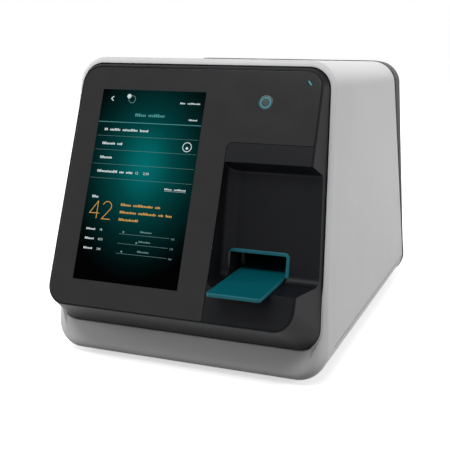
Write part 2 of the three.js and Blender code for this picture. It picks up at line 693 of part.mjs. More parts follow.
function makeRearCover() {
  const rounds = [0, 1 / 3, 2 / 3, 1].map((share) => {
    const angle = (share * Math.PI) / 2;
    const inset = BACK_RADIUS * (1 - Math.cos(angle)) - COVER_PROUD;
    const depth = BACK_RADIUS * (1 - Math.sin(angle));
    return ringOn(bodyOutline(backTop, inset), (z) => backY(z) - depth);
  });
  const outside = loft([
    ringOn(bodyOutline(shellRearTop, -COVER_PROUD), (z) => shellRearY(z) + SEAT_GAP),
    ...rounds,
  ]);
  const lip = loft([
    ringOn(bodyOutline(shellRearTop, WALL + SEAT_GAP), (z) => shellRearY(z) - COVER_LIP),
    ringOn(bodyOutline(shellRearTop, WALL + SEAT_GAP), (z) => shellRearY(z) + COVER_WALL),
  ]);
  const inside = loft([
    ringOn(bodyOutline(shellRearTop, COVER_INSET), (z) => shellRearY(z) - COVER_LIP - OVERRUN),
    ringOn(bodyOutline(backTop, COVER_INSET), (z) => backY(z) - BACK_RADIUS),
    ringOn(bodyOutline(backTop, BACK_RADIUS), (z) => backY(z) - COVER_WALL / Math.cos(BACK_LEAN)),
  ]);
  const throughWall = [-COVER_WALL - OVERRUN, OVERRUN];
  const backCuts = [];
  const fanReach = FAN_SIZE / 2 - FAN_RIM;
  for (let rise = SLOT_BAR_PITCH / 2; rise < fanReach - SLOT_OPENING; rise += SLOT_BAR_PITCH) {
    const half = Math.sqrt(fanReach ** 2 - (rise + SLOT_OPENING / 2) ** 2);
    [-rise, rise].forEach((height) => backCuts.push(block(
      [fanX - half, fanX + half],
      throughWall,
      [fanRise + height - SLOT_OPENING / 2, fanRise + height + SLOT_OPENING / 2],
    )));
  }
  for (let row = 0; row < VENT_COUNT; row += 1) {
    const low = backEdge - VENT_DROP + row * SLOT_BAR_PITCH;
    backCuts.push(block([ventLeft, ventRight], throughWall, [low, low + SLOT_OPENING]));
  }
  backCuts.push(windowOnBack(inletX, INLET_WIDTH, INLET_HEIGHT, throughWall));
  backCuts.push(windowOnBack(switchX, SWITCH_WIDTH, SWITCH_HEIGHT, throughWall));
  screwPlaces.forEach((spot) => {
    backCuts.push(barY(SCREW_RADIUS + SEAT_GAP, spot, throughWall));
    backCuts.push(barY(SCREW_HEAD_RADIUS + SEAT_GAP, spot, [-REAR_SCREW_RECESS, OVERRUN]));
  });
  const cover = cut(
    join(outside, lip),
    inside,
    ...screwPlaces.map((spot) => rearBoss(spot, SEAT_GAP)),
    ...upperScrews.map((spot) => upperRib(spot, SEAT_GAP)),
    ...backCuts.map(onBack),
    portWindow(usbX, USB_WIDTH, USB_HEIGHT),
    portWindow(networkX, NETWORK_WIDTH, NETWORK_HEIGHT),
  );
  place('rear_cover', cover, darkCover);
}

// A window in the leaning back round something of the given size
function windowOnBack(centre, width, height, depths) {
  return block(around(centre, width + 2 * SEAT_GAP), depths, around(INLET_RISE, height + 2 * SEAT_GAP));
}

const portBottom = boardTop + SEAT_GAP;

// A window in the back for a port that stands on the rear board
function portWindow(centre, width, height) {
  return block(
    around(centre, width + 2 * SEAT_GAP),
    [BACK_DEPTH - BACK_RADIUS, farBack],
    [portBottom - SEAT_GAP, portBottom + height + SEAT_GAP],
  );
}

function faceOutline(inset) {
  const half = faceHalfWidth - inset;
  return roundedRectangle([-half, half], [faceLow + inset, faceHigh - inset], FACE_RADIUS - inset);
}

// A block between heights from an outline in X and Y
function upright(outline, [z0, z1]) {
  const shape = new THREE.Shape(outline.map(([x, y]) => new THREE.Vector2(x, y)));
  const extrusion = new THREE.ExtrudeGeometry(shape, { depth: z1 - z0, bevelEnabled: false });
  return solid(extrusion.translate(0, 0, z0));
}

// Space of the recess, or of the walls round it when grown: floor and brow come from a profile in
// Y and Z, and the filleted back wall from a plan that leans with the seam's plane
const farAhead = -2 * NOSE_REACH;
const recessLean = new THREE.Matrix4()
  .makeTranslation(0, recessY(0), 0)
  .multiply(new THREE.Matrix4().makeShear(0, 0, 0, 0, 0, Math.tan(RIM_LEAN)));

function recessSpace(grow) {
  const low = SHELF_HEIGHT - grow;
  const browZ = recessBackTop + grow;
  const mouthTop = recessTop + grow;
  const profile = [
    [farAhead, low], [recessY(low) + BACK_DEPTH, low], [recessY(browZ) + BACK_DEPTH, browZ],
    [recessY(browZ) + grow, browZ], [faceY(mouthTop), mouthTop], [farAhead, mouthTop],
  ];
  const left = columnRight - grow;
  const plan = roundedOutline(
    [[left, -BACK_DEPTH], [farAcross[1], -BACK_DEPTH], [farAcross[1], grow], [left, grow]],
    [GLASS_CORNER, GLASS_CORNER, GLASS_CORNER, RECESS_FILLET + grow],
  );
  const leaning = upright(plan, [0, TOP_HEIGHT]).transform(recessLean.elements);
  return profileX(profile, farAcross).intersect(leaning);
}

const glassOutline = (grow) => roundedOutline([
  [glassLeft - grow, glassLow - grow], [columnRight + grow, glassLow - grow],
  [columnRight + grow, bandLow - grow], [glassRight + grow, bandLow - grow],
  [glassRight + grow, glassHigh + grow], [glassLeft - grow, glassHigh + grow],
], [
  GLASS_RADIUS + grow, GLASS_CORNER, GLASS_INNER_RADIUS,
  GLASS_CORNER, GLASS_RADIUS + grow, GLASS_RADIUS + grow,
]);

const displayOpening = (grow, depths) => block(
  [displayLeft - grow, displayRight + grow], depths, [displayLow - grow, displayHigh + grow],
);

// The small slanted light in the glass's upper corner, and the round ready light
const lightX = glassRight - LIGHT_SIDE_MARGIN;
const lightRise = glassHigh - LIGHT_TOP_MARGIN / 2;
const readyX = glassRight - READY_SIDE_MARGIN;
const readyRise = glassHigh - READY_TOP_MARGIN + LIGHT_TOP_MARGIN / 2;
const lightDepth = FACE_WALL + SEAT_GAP;

function statusLight(grow, [near, far]) {
  const length = around(0, LIGHT_LENGTH + 2 * grow);
  const width = around(0, LIGHT_WIDTH + 2 * grow);
  const bar = plate(roundedRectangle(length, width, LIGHT_CORNER + grow, 3), far - near);
  return bar.rotate([0, LIGHT_TURN / DEG, 0]).translate([lightX, near, lightRise]);
}

const readyLight = (grow, depths) => barY(READY_RADIUS + grow, [readyX, readyRise], depths, 32);

const postReach = PANEL_BORDER + SEAT_GAP + FRAME_BOSS_RADIUS;
const framePosts = [displayLeft - postReach, displayRight + postReach].flatMap((x) =>
  [displayLow, displayHigh].map((rise) => [x, rise]));
const panelBack = FACE_WALL + SEAT_GAP + PANEL_THICKNESS;

function makeFascia() {
  const outside = loft([
    ringOn(faceOutline(FACE_EDGE), faceY),
    ringOn(faceOutline(0), (z) => faceY(z) + FACE_EDGE),
    ringOn(seamOutline(SEAM_GAP), rimY),
    ringOn(seamOutline(SEAM_GAP), (z) => rimY(z) + SPIGOT),
  ]);
  const inside = loft([
    ringOn(faceOutline(WALL), (z) => faceY(z) + FACE_WALL / Math.cos(FACE_LEAN)),
    ringOn(seamOutline(SEAM_GAP + WALL), (z) => rimY(z) + SPIGOT + OVERRUN),
  ]);
  const linerCut = block(
    [slotLeft - LINER_WALL - SEAT_GAP, slotRight + LINER_WALL + SEAT_GAP],
    [recessY(SHELF_HEIGHT) - RECESS_STANDOFF, LINER_DEPTH],
    [SHELF_HEIGHT - LINER_WALL - SEAT_GAP, slotTop + LINER_WALL + SEAT_GAP],
  ).subtract(block(farAcross, [farAhead, recessY(SHELF_HEIGHT)], [0, SHELF_HEIGHT]));
  const pocketDepth = GLASS_THICKNESS + SEAT_GAP;
  const pocket = plate(glassOutline(SEAT_GAP), pocketDepth + OVERRUN).translate([0, -OVERRUN, 0]);
  const posts = framePosts.map((spot) => barY(FRAME_BOSS_RADIUS, spot, [FACE_WALL / 2, panelBack], 12));
  const throughFace = [0, FACE_WALL + OVERRUN];
  const walls = cut(outside, inside);
  const backed = join(walls, recessSpace(RECESS_WALL).intersect(outside), ...posts.map(onFace));
  place('front_fascia', cut(
    backed,
    recessSpace(0),
    linerCut,
    onFace(pocket),
    onFace(displayOpening(SEAT_GAP, throughFace)),
    onFace(statusLight(SEAT_GAP, throughFace)),
    onFace(readyLight(SEAT_GAP, throughFace)),
  ), darkFascia);
}

function makeGlass() {
  const sheet = plate(glassOutline(0), GLASS_THICKNESS);
  const through = [-OVERRUN, GLASS_THICKNESS + OVERRUN];
  place('front_glass', onFace(cut(
    sheet,
    displayOpening(SEAT_GAP, through),
    statusLight(SEAT_GAP, through),
    readyLight(SEAT_GAP, through),
  )), blackGlass);
  place('status_light', onFace(statusLight(0, [0, lightDepth])), tealLight);
  place('ready_light', onFace(readyLight(0, [0, lightDepth])), tealLight);
}

function makeDisplay() {
  const seat = FACE_WALL + SEAT_GAP;
  const screen = displayOpening(0, [SEAT_GAP, seat + PANEL_THICKNESS / 2]);
  const body = displayOpening(PANEL_BORDER, [seat, panelBack]);
  place('display_panel', onFace(join(screen, body)), displayFinish);
  const frameFront = panelBack + SEAT_GAP;
  const frameRear = frameFront + FRAME_SHEET;
  const frame = displayOpening(FRAME_BORDER, [frameFront, frameRear]);
  const window = displayOpening(0, [frameFront - OVERRUN, frameRear + OVERRUN]);
  const middleX = (displayLeft + displayRight) / 2;
  const middleRise = (displayLow + displayHigh) / 2;
  const crossbar = block(
    [displayLeft - FRAME_BORDER / 2, displayRight + FRAME_BORDER / 2],
    [frameFront, frameRear],
    [middleRise - DISPLAY_BOARD_HEIGHT / 2, middleRise + DISPLAY_BOARD_HEIGHT / 2],
  );
  place('display_frame', onFace(join(cut(frame, window), crossbar)), zincSheet);
  const boardFront = frameRear + SEAT_GAP;
  place('display_board', onFace(block(
    [middleX - DISPLAY_BOARD_WIDTH / 2, middleX + DISPLAY_BOARD_WIDTH / 2],
    [boardFront, boardFront + BOARD_THICKNESS],
    [middleRise - DISPLAY_BOARD_HEIGHT / 2, middleRise + DISPLAY_BOARD_HEIGHT / 2],
  )), boardGreen);
}

function makeSlotLiner() {
  const ahead = recessY(SHELF_HEIGHT) - RECESS_STANDOFF;
  const length = LINER_DEPTH - ahead;
  const outline = roundedRectangle(
    [slotLeft - LINER_WALL, slotRight + LINER_WALL],
    [SHELF_HEIGHT - LINER_WALL, slotTop + LINER_WALL],
    LINER_CORNER,
  );
  const inner = roundedRectangle(
    [slotLeft, slotRight], [SHELF_HEIGHT, slotTop], LINER_CORNER - LINER_WALL,
  );
  const sleeve = cut(
    plate(outline, length),
    plate(inner, length + 2 * OVERRUN).translate([0, -OVERRUN, 0]),
  ).translate([0, ahead, 0]);
  const proudFace = (z) => recessY(z) - LINER_PROUD;
  const slantedFront = profileX([
    [farAhead, 0], [proudFace(0), 0], [proudFace(TOP_HEIGHT), TOP_HEIGHT], [farAhead, TOP_HEIGHT],
  ], farAcross);
  const underShelf = block(
    farAcross, [ahead - OVERRUN, recessY(SHELF_HEIGHT) + SEAT_GAP], [0, SHELF_HEIGHT + SEAT_GAP],
  );
  place('slot_liner', cut(sleeve, slantedFront, underShelf), tealPlastic);
}

function makeTray() {
  const outline = roundedOutline(
    rectangle([trayLeft, trayRight], [trayFront, trayRear]),
    [TRAY_CORNER, TRAY_CORNER, TRAY_REAR_CORNER, TRAY_REAR_CORNER],
  );
  place('cartridge_tray', upright(outline, [trayBottom, trayTop]), tealPlastic);
  const half = CARRIAGE_WIDTH / 2;
  const body = block(
    [trayX - half, trayX + half], [carriageFront, trayRear], [carriageBottom, carriageTop],
  );
  const grooves = [-1, 1].map((side) => {
    const x = trayX + (side * RAIL_SPACING) / 2;
    return block(
      [x - RAIL_WIDTH / 2 - RUN_GAP, x + RAIL_WIDTH / 2 + RUN_GAP],
      [carriageFront - OVERRUN, trayRear + OVERRUN],
      [carriageBottom - OVERRUN, railTop + RUN_GAP],
    );
  });
  const bore = barY(
    TRAY_SCREW_RADIUS + RUN_GAP, [trayX, trayScrewZ], [carriageFront - OVERRUN, trayRear + OVERRUN],
  );
  place('tray_carriage', cut(body, ...grooves, bore), blackPlastic);
}

function makeTrayDrive() {
  [['tray_rail_left', -1], ['tray_rail_right', 1]].forEach(([name, side]) => {
    const x = trayX + (side * RAIL_SPACING) / 2;
    place(name, block(
      [x - RAIL_WIDTH / 2, x + RAIL_WIDTH / 2],
      [bearingFront, mountFront - SEAT_GAP],
      [railBottom, railTop],
    ), steel);
  });
  const axis = [trayX, trayScrewZ];
  const shaftEnd = trayMotorFront + MOTOR_BORE_DEPTH - RUN_GAP;
  const turned = [
    [0, bearingFront], [TRAY_SCREW_RADIUS, bearingFront], [TRAY_SCREW_RADIUS, shaftEnd], [0, shaftEnd],
  ].map(([r, y]) => new THREE.Vector2(r, y));
  const screw = new THREE.LatheGeometry(turned, 16).translate(trayX, 0, trayScrewZ);
  place('tray_screw', solid(screw), steel);
  const halfWidth = BEARING_WIDTH / 2 - RAIL_WIDTH / 2;
  const bearing = block(
    [trayX - halfWidth, trayX + halfWidth],
    [bearingFront, bearingRear],
    [deckTop + SEAT_GAP, trayBottom - BEARING_TOP],
  );
  const boreFor = (depths) => barY(TRAY_SCREW_RADIUS + RUN_GAP, axis, depths);
  const bearingBore = boreFor([bearingFront - OVERRUN, bearingRear + OVERRUN]);
  place('screw_bearing', cut(bearing, bearingBore), whitePlastic);
  const motorAcross = around(trayX, TRAY_MOTOR_SIZE);
  const motorHeights = [deckTop + SEAT_GAP, deckTop + SEAT_GAP + TRAY_MOTOR_SIZE];
  const mount = block(motorAcross, [mountFront, mountRear], motorHeights);
  const mountBore = boreFor([mountFront - OVERRUN, mountRear + OVERRUN]);
  place('motor_mount', cut(mount, mountBore), zincSheet);
  const motor = block(motorAcross, [trayMotorFront, trayMotorFront + TRAY_MOTOR_LENGTH], motorHeights);
  const motorBore = boreFor([trayMotorFront - OVERRUN, trayMotorFront + MOTOR_BORE_DEPTH]);
  place('tray_motor', cut(motor, motorBore), blackPlastic);
  const sensorLeft = trayX + CARRIAGE_WIDTH / 2 + RUN_GAP * 2;
  place('tray_sensor', block(
    [sensorLeft, sensorLeft + SENSOR_WIDTH],
    [mountFront - SENSOR_LENGTH, mountFront],
    [deckTop + SEAT_GAP, deckTop + SEAT_GAP + SENSOR_HEIGHT],
  ), blackPlastic);
}

function makeMechanismFrame() {
  const deck = block([deckLeft, deckRight], [deckFront, deckRear], [deckTop - DECK_SHEET, deckTop]);
  const legHeights = [floorTop + SEAT_GAP, deckTop - DECK_SHEET / 2];
  const legs = [[deckLeft, deckLeft + DECK_SHEET], [deckRight - DECK_SHEET, deckRight]].map((xs) =>
    block(xs, [deckFront, deckRear], legHeights));
  const rib = block([deckLeft, deckRight], [deckRear - DECK_SHEET, deckRear], legHeights);
  place('mechanism_frame', join(deck, ...legs, rib), zincSheet);
}

// Shutter: a door in two grooved posts, lifted by a plunger
const shutterFront = deckFront + SEAT_GAP + (SHUTTER_POST_DEPTH - SHUTTER_SHEET) / 2;
const shutterLow = slotTop + SHUTTER_LIFT;
const shutterHigh = shutterLow + SHUTTER_HEIGHT;
const doorLeft = slotLeft - SHUTTER_SIDE_LAP;
const doorRight = slotRight + SHUTTER_SIDE_LAP;
const shutterMiddle = shutterFront + SHUTTER_SHEET / 2;
const bridgeBottom = shutterHigh + SHUTTER_LIFT * 2;
const stemX = (doorLeft + doorRight) / 2;
const stemTop = bridgeBottom + SHUTTER_BRIDGE + SHUTTER_TRAVEL + SHUTTER_STEM_HOLD;

function makeShutter() {
  const sheetDepths = [shutterFront, shutterFront + SHUTTER_SHEET];
  const door = block([doorLeft, doorRight], sheetDepths, [shutterLow, shutterHigh]);
  const stem = block(
    [stemX - SHUTTER_STEM_WIDTH / 2, stemX + SHUTTER_STEM_WIDTH / 2],
    sheetDepths,
    [shutterHigh - SHUTTER_LIFT, stemTop],
  );
  place('shutter_door', join(door, stem), blackPlastic);
  const postFront = shutterMiddle - SHUTTER_POST_DEPTH / 2;
  const postRear = shutterMiddle + SHUTTER_POST_DEPTH / 2;
  const posts = [
    [doorLeft - SHUTTER_POST_WIDTH + SHUTTER_GROOVE_DEPTH, doorLeft + SHUTTER_GROOVE_DEPTH],
    [doorRight - SHUTTER_GROOVE_DEPTH, doorRight + SHUTTER_POST_WIDTH - SHUTTER_GROOVE_DEPTH],
  ];
  const columns = posts.map((xs) =>
    block(xs, [postFront, postRear], [deckTop + SEAT_GAP, bridgeBottom + SHUTTER_BRIDGE / 2]));
  const bridge = block(
    [posts[0][0], posts[1][1]], [postFront, postRear], [bridgeBottom, bridgeBottom + SHUTTER_BRIDGE],
  );
  const groove = block(
    [doorLeft - RUN_GAP, doorRight + RUN_GAP],
    [shutterFront - RUN_GAP, shutterFront + SHUTTER_SHEET + RUN_GAP],
    [deckTop + SHUTTER_BRIDGE, bridgeBottom - SHUTTER_LIFT],
  );
  const stemHole = block(
    [stemX - SHUTTER_STEM_WIDTH / 2 - RUN_GAP, stemX + SHUTTER_STEM_WIDTH / 2 + RUN_GAP],
    [shutterFront - RUN_GAP, shutterFront + SHUTTER_SHEET + RUN_GAP],
    [bridgeBottom - OVERRUN, stemTop + SHUTTER_LIFT],
  );
  place('shutter_guide', cut(join(bridge, ...columns), groove, stemHole), zincSheet);
  const coilLow = bridgeBottom + SHUTTER_BRIDGE + SEAT_GAP;
  const coil = block(
    [stemX - ACTUATOR_WIDTH / 2, stemX + ACTUATOR_WIDTH / 2],
    [shutterMiddle - ACTUATOR_DEPTH / 2, shutterMiddle + ACTUATOR_DEPTH / 2],
    [coilLow, coilLow + ACTUATOR_HEIGHT],
  );
  place('shutter_actuator', cut(coil, stemHole), blackPlastic);
}

// Press: a head on two rods, driven down by a screw
const pressY = PRESS_OFFSET;
const padBottom = trayTop + PRESS_LIFT;
const padTop = padBottom + PRESS_PAD_HEIGHT;
const headTop = padTop + PRESS_HEAD_THICKNESS;
const beamBottom = TOP_HEIGHT - PRESS_BEAM_DROP;
const beamTop = beamBottom + PRESS_BEAM_THICKNESS;
const rodXs = [-1, 1].map((side) => trayX + (side * PRESS_SPACING) / 2);

function makePress() {
  const beamHalf = PRESS_SPACING / 2 + PRESS_BEAM_OVERHANG;
  const across = [trayX - beamHalf, trayX + beamHalf];
  const rodHole = (x, grow, heights) => barZ(PRESS_ROD_RADIUS + grow, [x, pressY], heights);
  rodXs.forEach((x, i) => {
    const name = ['press_rod_left', 'press_rod_right'][i];
    place(name, rodHole(x, 0, [deckTop + SEAT_GAP, beamBottom + PRESS_BEAM_THICKNESS / 2]), steel);
  });
  const screwHole = (heights) => barZ(PRESS_SCREW_RADIUS + RUN_GAP, [trayX, pressY], heights);
  const beam = block(across, around(pressY, PRESS_BEAM_DEPTH), [beamBottom, beamTop]);
  const blind = [beamBottom - OVERRUN, beamBottom + PRESS_BEAM_THICKNESS / 2 + SEAT_GAP];
  place('press_beam', cut(
    beam,
    ...rodXs.map((x) => rodHole(x, SEAT_GAP, blind)),
    screwHole([beamBottom - OVERRUN, beamTop + OVERRUN]),
  ), aluminium);
  const headBar = block(across, around(pressY, PRESS_HEAD_DEPTH), [padTop, headTop]);
  const pad = block(
    around(trayX, PRESS_PAD_WIDTH),
    around(pressY, PRESS_PAD_DEPTH),
    [padBottom, padTop + PRESS_HEAD_THICKNESS / 2],
  );
  place('press_head', cut(
    join(headBar, pad),
    ...rodXs.map((x) => rodHole(x, RUN_GAP, [padTop - OVERRUN, headTop + OVERRUN])),
    screwHole([headTop - PRESS_SCREW_DEPTH, headTop + OVERRUN]),
  ), whitePlastic);
  const screwLow = headTop - PRESS_SCREW_DEPTH + RUN_GAP;
  const motorLow = beamTop + SEAT_GAP;
  const screwHigh = motorLow + MOTOR_BORE_DEPTH - RUN_GAP;
  place('press_screw', barZ(PRESS_SCREW_RADIUS, [trayX, pressY], [screwLow, screwHigh]), steel);
  const motor = block(
    around(trayX, PRESS_MOTOR_SIZE),
    around(pressY, PRESS_MOTOR_SIZE),
    [motorLow, motorLow + PRESS_MOTOR_HEIGHT],
  );
  const motorBore = screwHole([motorLow - OVERRUN, motorLow + MOTOR_BORE_DEPTH]);
  place('press_motor', cut(motor, motorBore), blackPlastic);
}

function makeReader() {
  const front = READER_OFFSET;
  const rear = front + READER_LENGTH;
  const low = trayTop + READER_LIFT;
  const high = low + READER_HEIGHT;
  const innerLeft = trayLeft - READER_SIDE_CLEARANCE;
  const innerRight = trayRight + READER_SIDE_CLEARANCE;
  const body = block([innerLeft - READER_LEG, innerRight + READER_LEG], [front, rear], [low, high]);
  const legs = [[innerLeft - READER_LEG, innerLeft], [innerRight, innerRight + READER_LEG]].map((xs) =>
    block(xs, [front, rear], [deckTop + SEAT_GAP, low + READER_LEG]));
  const middleY = (front + rear) / 2;
  const sight = barZ(READER_BORE_RADIUS, [trayX, middleY], [low - OVERRUN, high + OVERRUN], 24);
  place('reader_housing', cut(join(body, ...legs), sight), blackPlastic);
  place('reader_camera', barZ(
    CAMERA_RADIUS, [trayX, middleY], [high + SEAT_GAP, high + SEAT_GAP + CAMERA_HEIGHT], 24,
  ), aluminium);
  const heater = block(
    [innerLeft + HEATER_MARGIN, innerRight - HEATER_MARGIN],
    [front + HEATER_MARGIN, rear - HEATER_MARGIN],
    [low - SEAT_GAP - HEATER_THICKNESS, low - SEAT_GAP],
  );
  place('heater_plate', cut(heater, sight), aluminium);
}

// Boards and supply, each as its low and high sides in X and in Y
const boardLeft = BOARD_SIDE_MARGIN - floorHalfWidth;
const supplyRear = floorRear - SUPPLY_REAR_MARGIN;
const supplyFront = supplyRear - SUPPLY_LENGTH;
const rearBoardLeft = networkX - REAR_BOARD_REACH;
const rearBoardEnd = floorRear + REAR_BOARD_OVERHANG;
const mainBoard = [
  [boardLeft, deckLeft - MAIN_BOARD_DECK_GAP], [MAIN_BOARD_FRONT, supplyFront - MAIN_BOARD_SUPPLY_GAP],
];
const rearBoard = [
  [rearBoardLeft, rearBoardLeft + REAR_BOARD_WIDTH], [rearBoardEnd - REAR_BOARD_LENGTH, rearBoardEnd],
];

// Holes near a board's corners, up to where the chassis floor ends
function boardHoles([[left, right], [front, rear]]) {
  const lastRow = Math.min(rear, floorRear) - BOARD_HOLE_INSET;
  return [left + BOARD_HOLE_INSET, right - BOARD_HOLE_INSET].flatMap((x) =>
    [front + BOARD_HOLE_INSET, lastRow].map((y) => [x, y]));
}

const standoffPlaces = [...boardHoles(mainBoard), ...boardHoles(rearBoard)];

function makeChassis() {
  const sheet = block(around(0, 2 * floorHalfWidth), [FLOOR_FRONT, floorRear], [floorBottom, floorTop]);
  const standoffs = standoffPlaces.map((spot) =>
    barZ(STANDOFF_RADIUS, spot, [floorBottom + FLOOR_SHEET / 2, floorTop + STANDOFF_HEIGHT], 8));
  const holes = bossPlaces.map((spot) =>
    barZ(SCREW_RADIUS + SEAT_GAP, spot, [floorBottom - OVERRUN, floorTop + OVERRUN], 12));
  place('chassis_floor', cut(join(sheet, ...standoffs), ...holes), zincSheet);
}

function makeBoards() {
  place('main_board', block(...mainBoard, [boardBottom, boardTop]), boardGreen);
  place('rear_board', block(...rearBoard, [boardBottom, boardTop]), boardGreen);
  const [sinkX, sinkY] = mainBoard.map(([first, last]) => (first + last) / 2);
  const low = boardTop + SEAT_GAP;
  const sinkDepths = around(sinkY, HEAT_SINK_SIZE);
  const sinkBase = block(around(sinkX, HEAT_SINK_SIZE), sinkDepths, [low, low + HEAT_SINK_BASE]);
  const pitch = (HEAT_SINK_SIZE - HEAT_SINK_FIN) / (HEAT_SINK_FINS - 1);
  const fins = Array.from({ length: HEAT_SINK_FINS }, (_, i) => {
    const x = sinkX - HEAT_SINK_SIZE / 2 + i * pitch;
    return block([x, x + HEAT_SINK_FIN], sinkDepths, [low + HEAT_SINK_BASE / 2, low + HEAT_SINK_HEIGHT]);
  });
  place('heat_sink', join(sinkBase, ...fins), aluminium);
  place('power_supply', block(
    [boardLeft, deckLeft - SUPPLY_DECK_GAP],
    [supplyFront, supplyRear],
    [floorTop + SEAT_GAP, floorTop + SEAT_GAP + SUPPLY_HEIGHT],
  ), zincSheet);
  place('speaker', barZ(
    SPEAKER_RADIUS, [SPEAKER_SIDE_MARGIN - HALF_WIDTH, SPEAKER_OFFSET],
    [floorTop + SEAT_GAP, floorTop + SEAT_GAP + SPEAKER_HEIGHT], 24,
  ), blackPlastic);
}

function makePorts() {
  const mouth = backY(portBottom + USB_HEIGHT) - PORT_RECESS;
  const port = (centre, width, height, sockets) => cut(block(
    around(centre, width), [mouth - PORT_LENGTH, mouth], [portBottom, portBottom + height],
  ), ...sockets.map(([low, socketWidth, socketHeight]) => block(
    around(centre, socketWidth),
    [mouth - PORT_SOCKET_DEPTH, mouth + OVERRUN],
    [portBottom + low, portBottom + low + socketHeight],
  )));
  const usbGap = (USB_HEIGHT - 2 * USB_SOCKET_HEIGHT) / 3;
  place('usb_ports', port(usbX, USB_WIDTH, USB_HEIGHT, [
    [usbGap, USB_SOCKET_WIDTH, USB_SOCKET_HEIGHT],
    [2 * usbGap + USB_SOCKET_HEIGHT, USB_SOCKET_WIDTH, USB_SOCKET_HEIGHT],
  ]), steel);
  const networkLow = (NETWORK_HEIGHT - NETWORK_SOCKET_HEIGHT) / 2;
  place('network_port', port(networkX, NETWORK_WIDTH, NETWORK_HEIGHT, [
    [networkLow, NETWORK_SOCKET_WIDTH, NETWORK_SOCKET_HEIGHT],
  ]), steel);
}

function makePowerEntry() {
  const flangeRear = SEAT_GAP + INLET_FLANGE;
  const flange = (centre, width, height, lip) => plate(roundedRectangle(
    around(centre, width + 2 * lip), around(INLET_RISE, height + 2 * lip), lip, 3,
  ), INLET_FLANGE).translate([0, SEAT_GAP, 0]);
  const body = (centre, width, height, depth) => block(
    around(centre, width), [-depth, flangeRear - INLET_FLANGE / 2], around(INLET_RISE, height),
  );
  const socket = block(
    around(inletX, INLET_SOCKET_WIDTH),
    [flangeRear - INLET_SOCKET_DEPTH, flangeRear + OVERRUN],
    around(INLET_RISE, INLET_SOCKET_HEIGHT),
  );
  place('power_inlet', onBack(cut(join(
    body(inletX, INLET_WIDTH, INLET_HEIGHT, INLET_DEPTH),
    flange(inletX, INLET_WIDTH, INLET_HEIGHT, INLET_LIP),
  ), socket)), blackPlastic);
  const well = block(
    around(switchX, ROCKER_WIDTH + 2 * RUN_GAP),
    [-ROCKER_PIVOT - ROCKER_DEPTH, flangeRear + OVERRUN],
    around(INLET_RISE, ROCKER_HEIGHT + 2 * ROCKER_SWEEP_CLEARANCE),
  );
  place('switch_body', onBack(cut(join(
    body(switchX, SWITCH_WIDTH, SWITCH_HEIGHT, SWITCH_DEPTH),
    flange(switchX, SWITCH_WIDTH, SWITCH_HEIGHT, SWITCH_LIP),
  ), well)), blackPlastic);
  const half = ROCKER_HEIGHT / 2;
  const proud = flangeRear + ROCKER_PROUD;
  const profile = [
    [-ROCKER_DEPTH, half - ROCKER_TAPER], [proud, half], [proud - ROCKER_DIP, 0],
    [proud, -half], [-ROCKER_DEPTH, ROCKER_TAPER - half],
  ];
  const rocker = profileX(profile, around(0, ROCKER_WIDTH))
    .translate([0, ROCKER_PIVOT, 0])
    .rotate([ROCKER_TILT / DEG, 0, 0])
    .translate([switchX, -ROCKER_PIVOT, INLET_RISE]);
  place('power_rocker', onBack(rocker), blackPlastic);
}

function makeFan() {
  const half = FAN_SIZE / 2;
  const near = coverInside;
  const far = near - FAN_DEPTH;
  const centre = [fanX, fanRise];
  const square = roundedRectangle(around(fanX, FAN_SIZE), around(fanRise, FAN_SIZE), FAN_CORNER);
  const body = plate(square, FAN_DEPTH).translate([0, far, 0]);
  const duct = barY(half - FAN_RIM, centre, [far - OVERRUN, near + OVERRUN], 32);
  const hub = barY(FAN_HUB_RADIUS, centre, [far, far + FAN_WEB], 24);
  const spoke = block([0, half - FAN_RIM / 2], [far, far + FAN_WEB], around(0, FAN_SPOKE));
  const spokes = Array.from({ length: FAN_SPOKES }, (_, i) => {
    const angle = FAN_SPOKE_START + (TURN * i) / FAN_SPOKES;
    return spoke.rotate([0, angle / DEG, 0]).translate([fanX, 0, fanRise]);
  });
  place('fan_frame', onBack(join(cut(body, duct), hub, ...spokes)), blackPlastic);
  const rotorFar = far + FAN_WEB + RUN_GAP;
  const rotorNear = near - FAN_WEB;
  const rotorHub = barY(FAN_HUB_RADIUS + RUN_GAP, [0, 0], [rotorFar, rotorNear], 24);
  const bladeReach = half - FAN_RIM - 3 * RUN_GAP;
  const bladeLength = (rotorNear - rotorFar) / Math.cos(FAN_BLADE_PITCH) - 2 * FAN_BLADE_SHEET;
  const blades = Array.from({ length: FAN_BLADES }, (_, i) => block(
    [FAN_HUB_RADIUS / 2, bladeReach],
    [-bladeLength / 2, bladeLength / 2],
    [-FAN_BLADE_SHEET / 2, FAN_BLADE_SHEET / 2],
  ).rotate([FAN_BLADE_PITCH / DEG, 0, 0])
    .rotate([0, (TURN * i) / FAN_BLADES / DEG, 0])
    .translate([0, (rotorFar + rotorNear) / 2, 0]));
  const swept = barY(bladeReach, [0, 0], [rotorFar, rotorNear], 32);
  const rotor = join(rotorHub, ...blades).intersect(swept).translate([fanX, 0, fanRise]);
  place('fan_rotor', onBack(rotor), blackPlastic);
}

// A pan-head screw along +Z, with its head's underside at zero and its shank below
function screwShape(length) {
  const headTopZ = SCREW_HEAD_HEIGHT;
  const profile = [
    [0, -length], [SCREW_RADIUS, -length], [SCREW_RADIUS, 0], [SCREW_HEAD_RADIUS, 0],
    [SCREW_HEAD_RADIUS, headTopZ / 2], [SCREW_HEAD_RADIUS / 2, headTopZ], [0, headTopZ],
  ].map(([r, z]) => new THREE.Vector2(r, z));
  return new THREE.LatheGeometry(profile, 12).rotateX(Math.PI / 2);
}

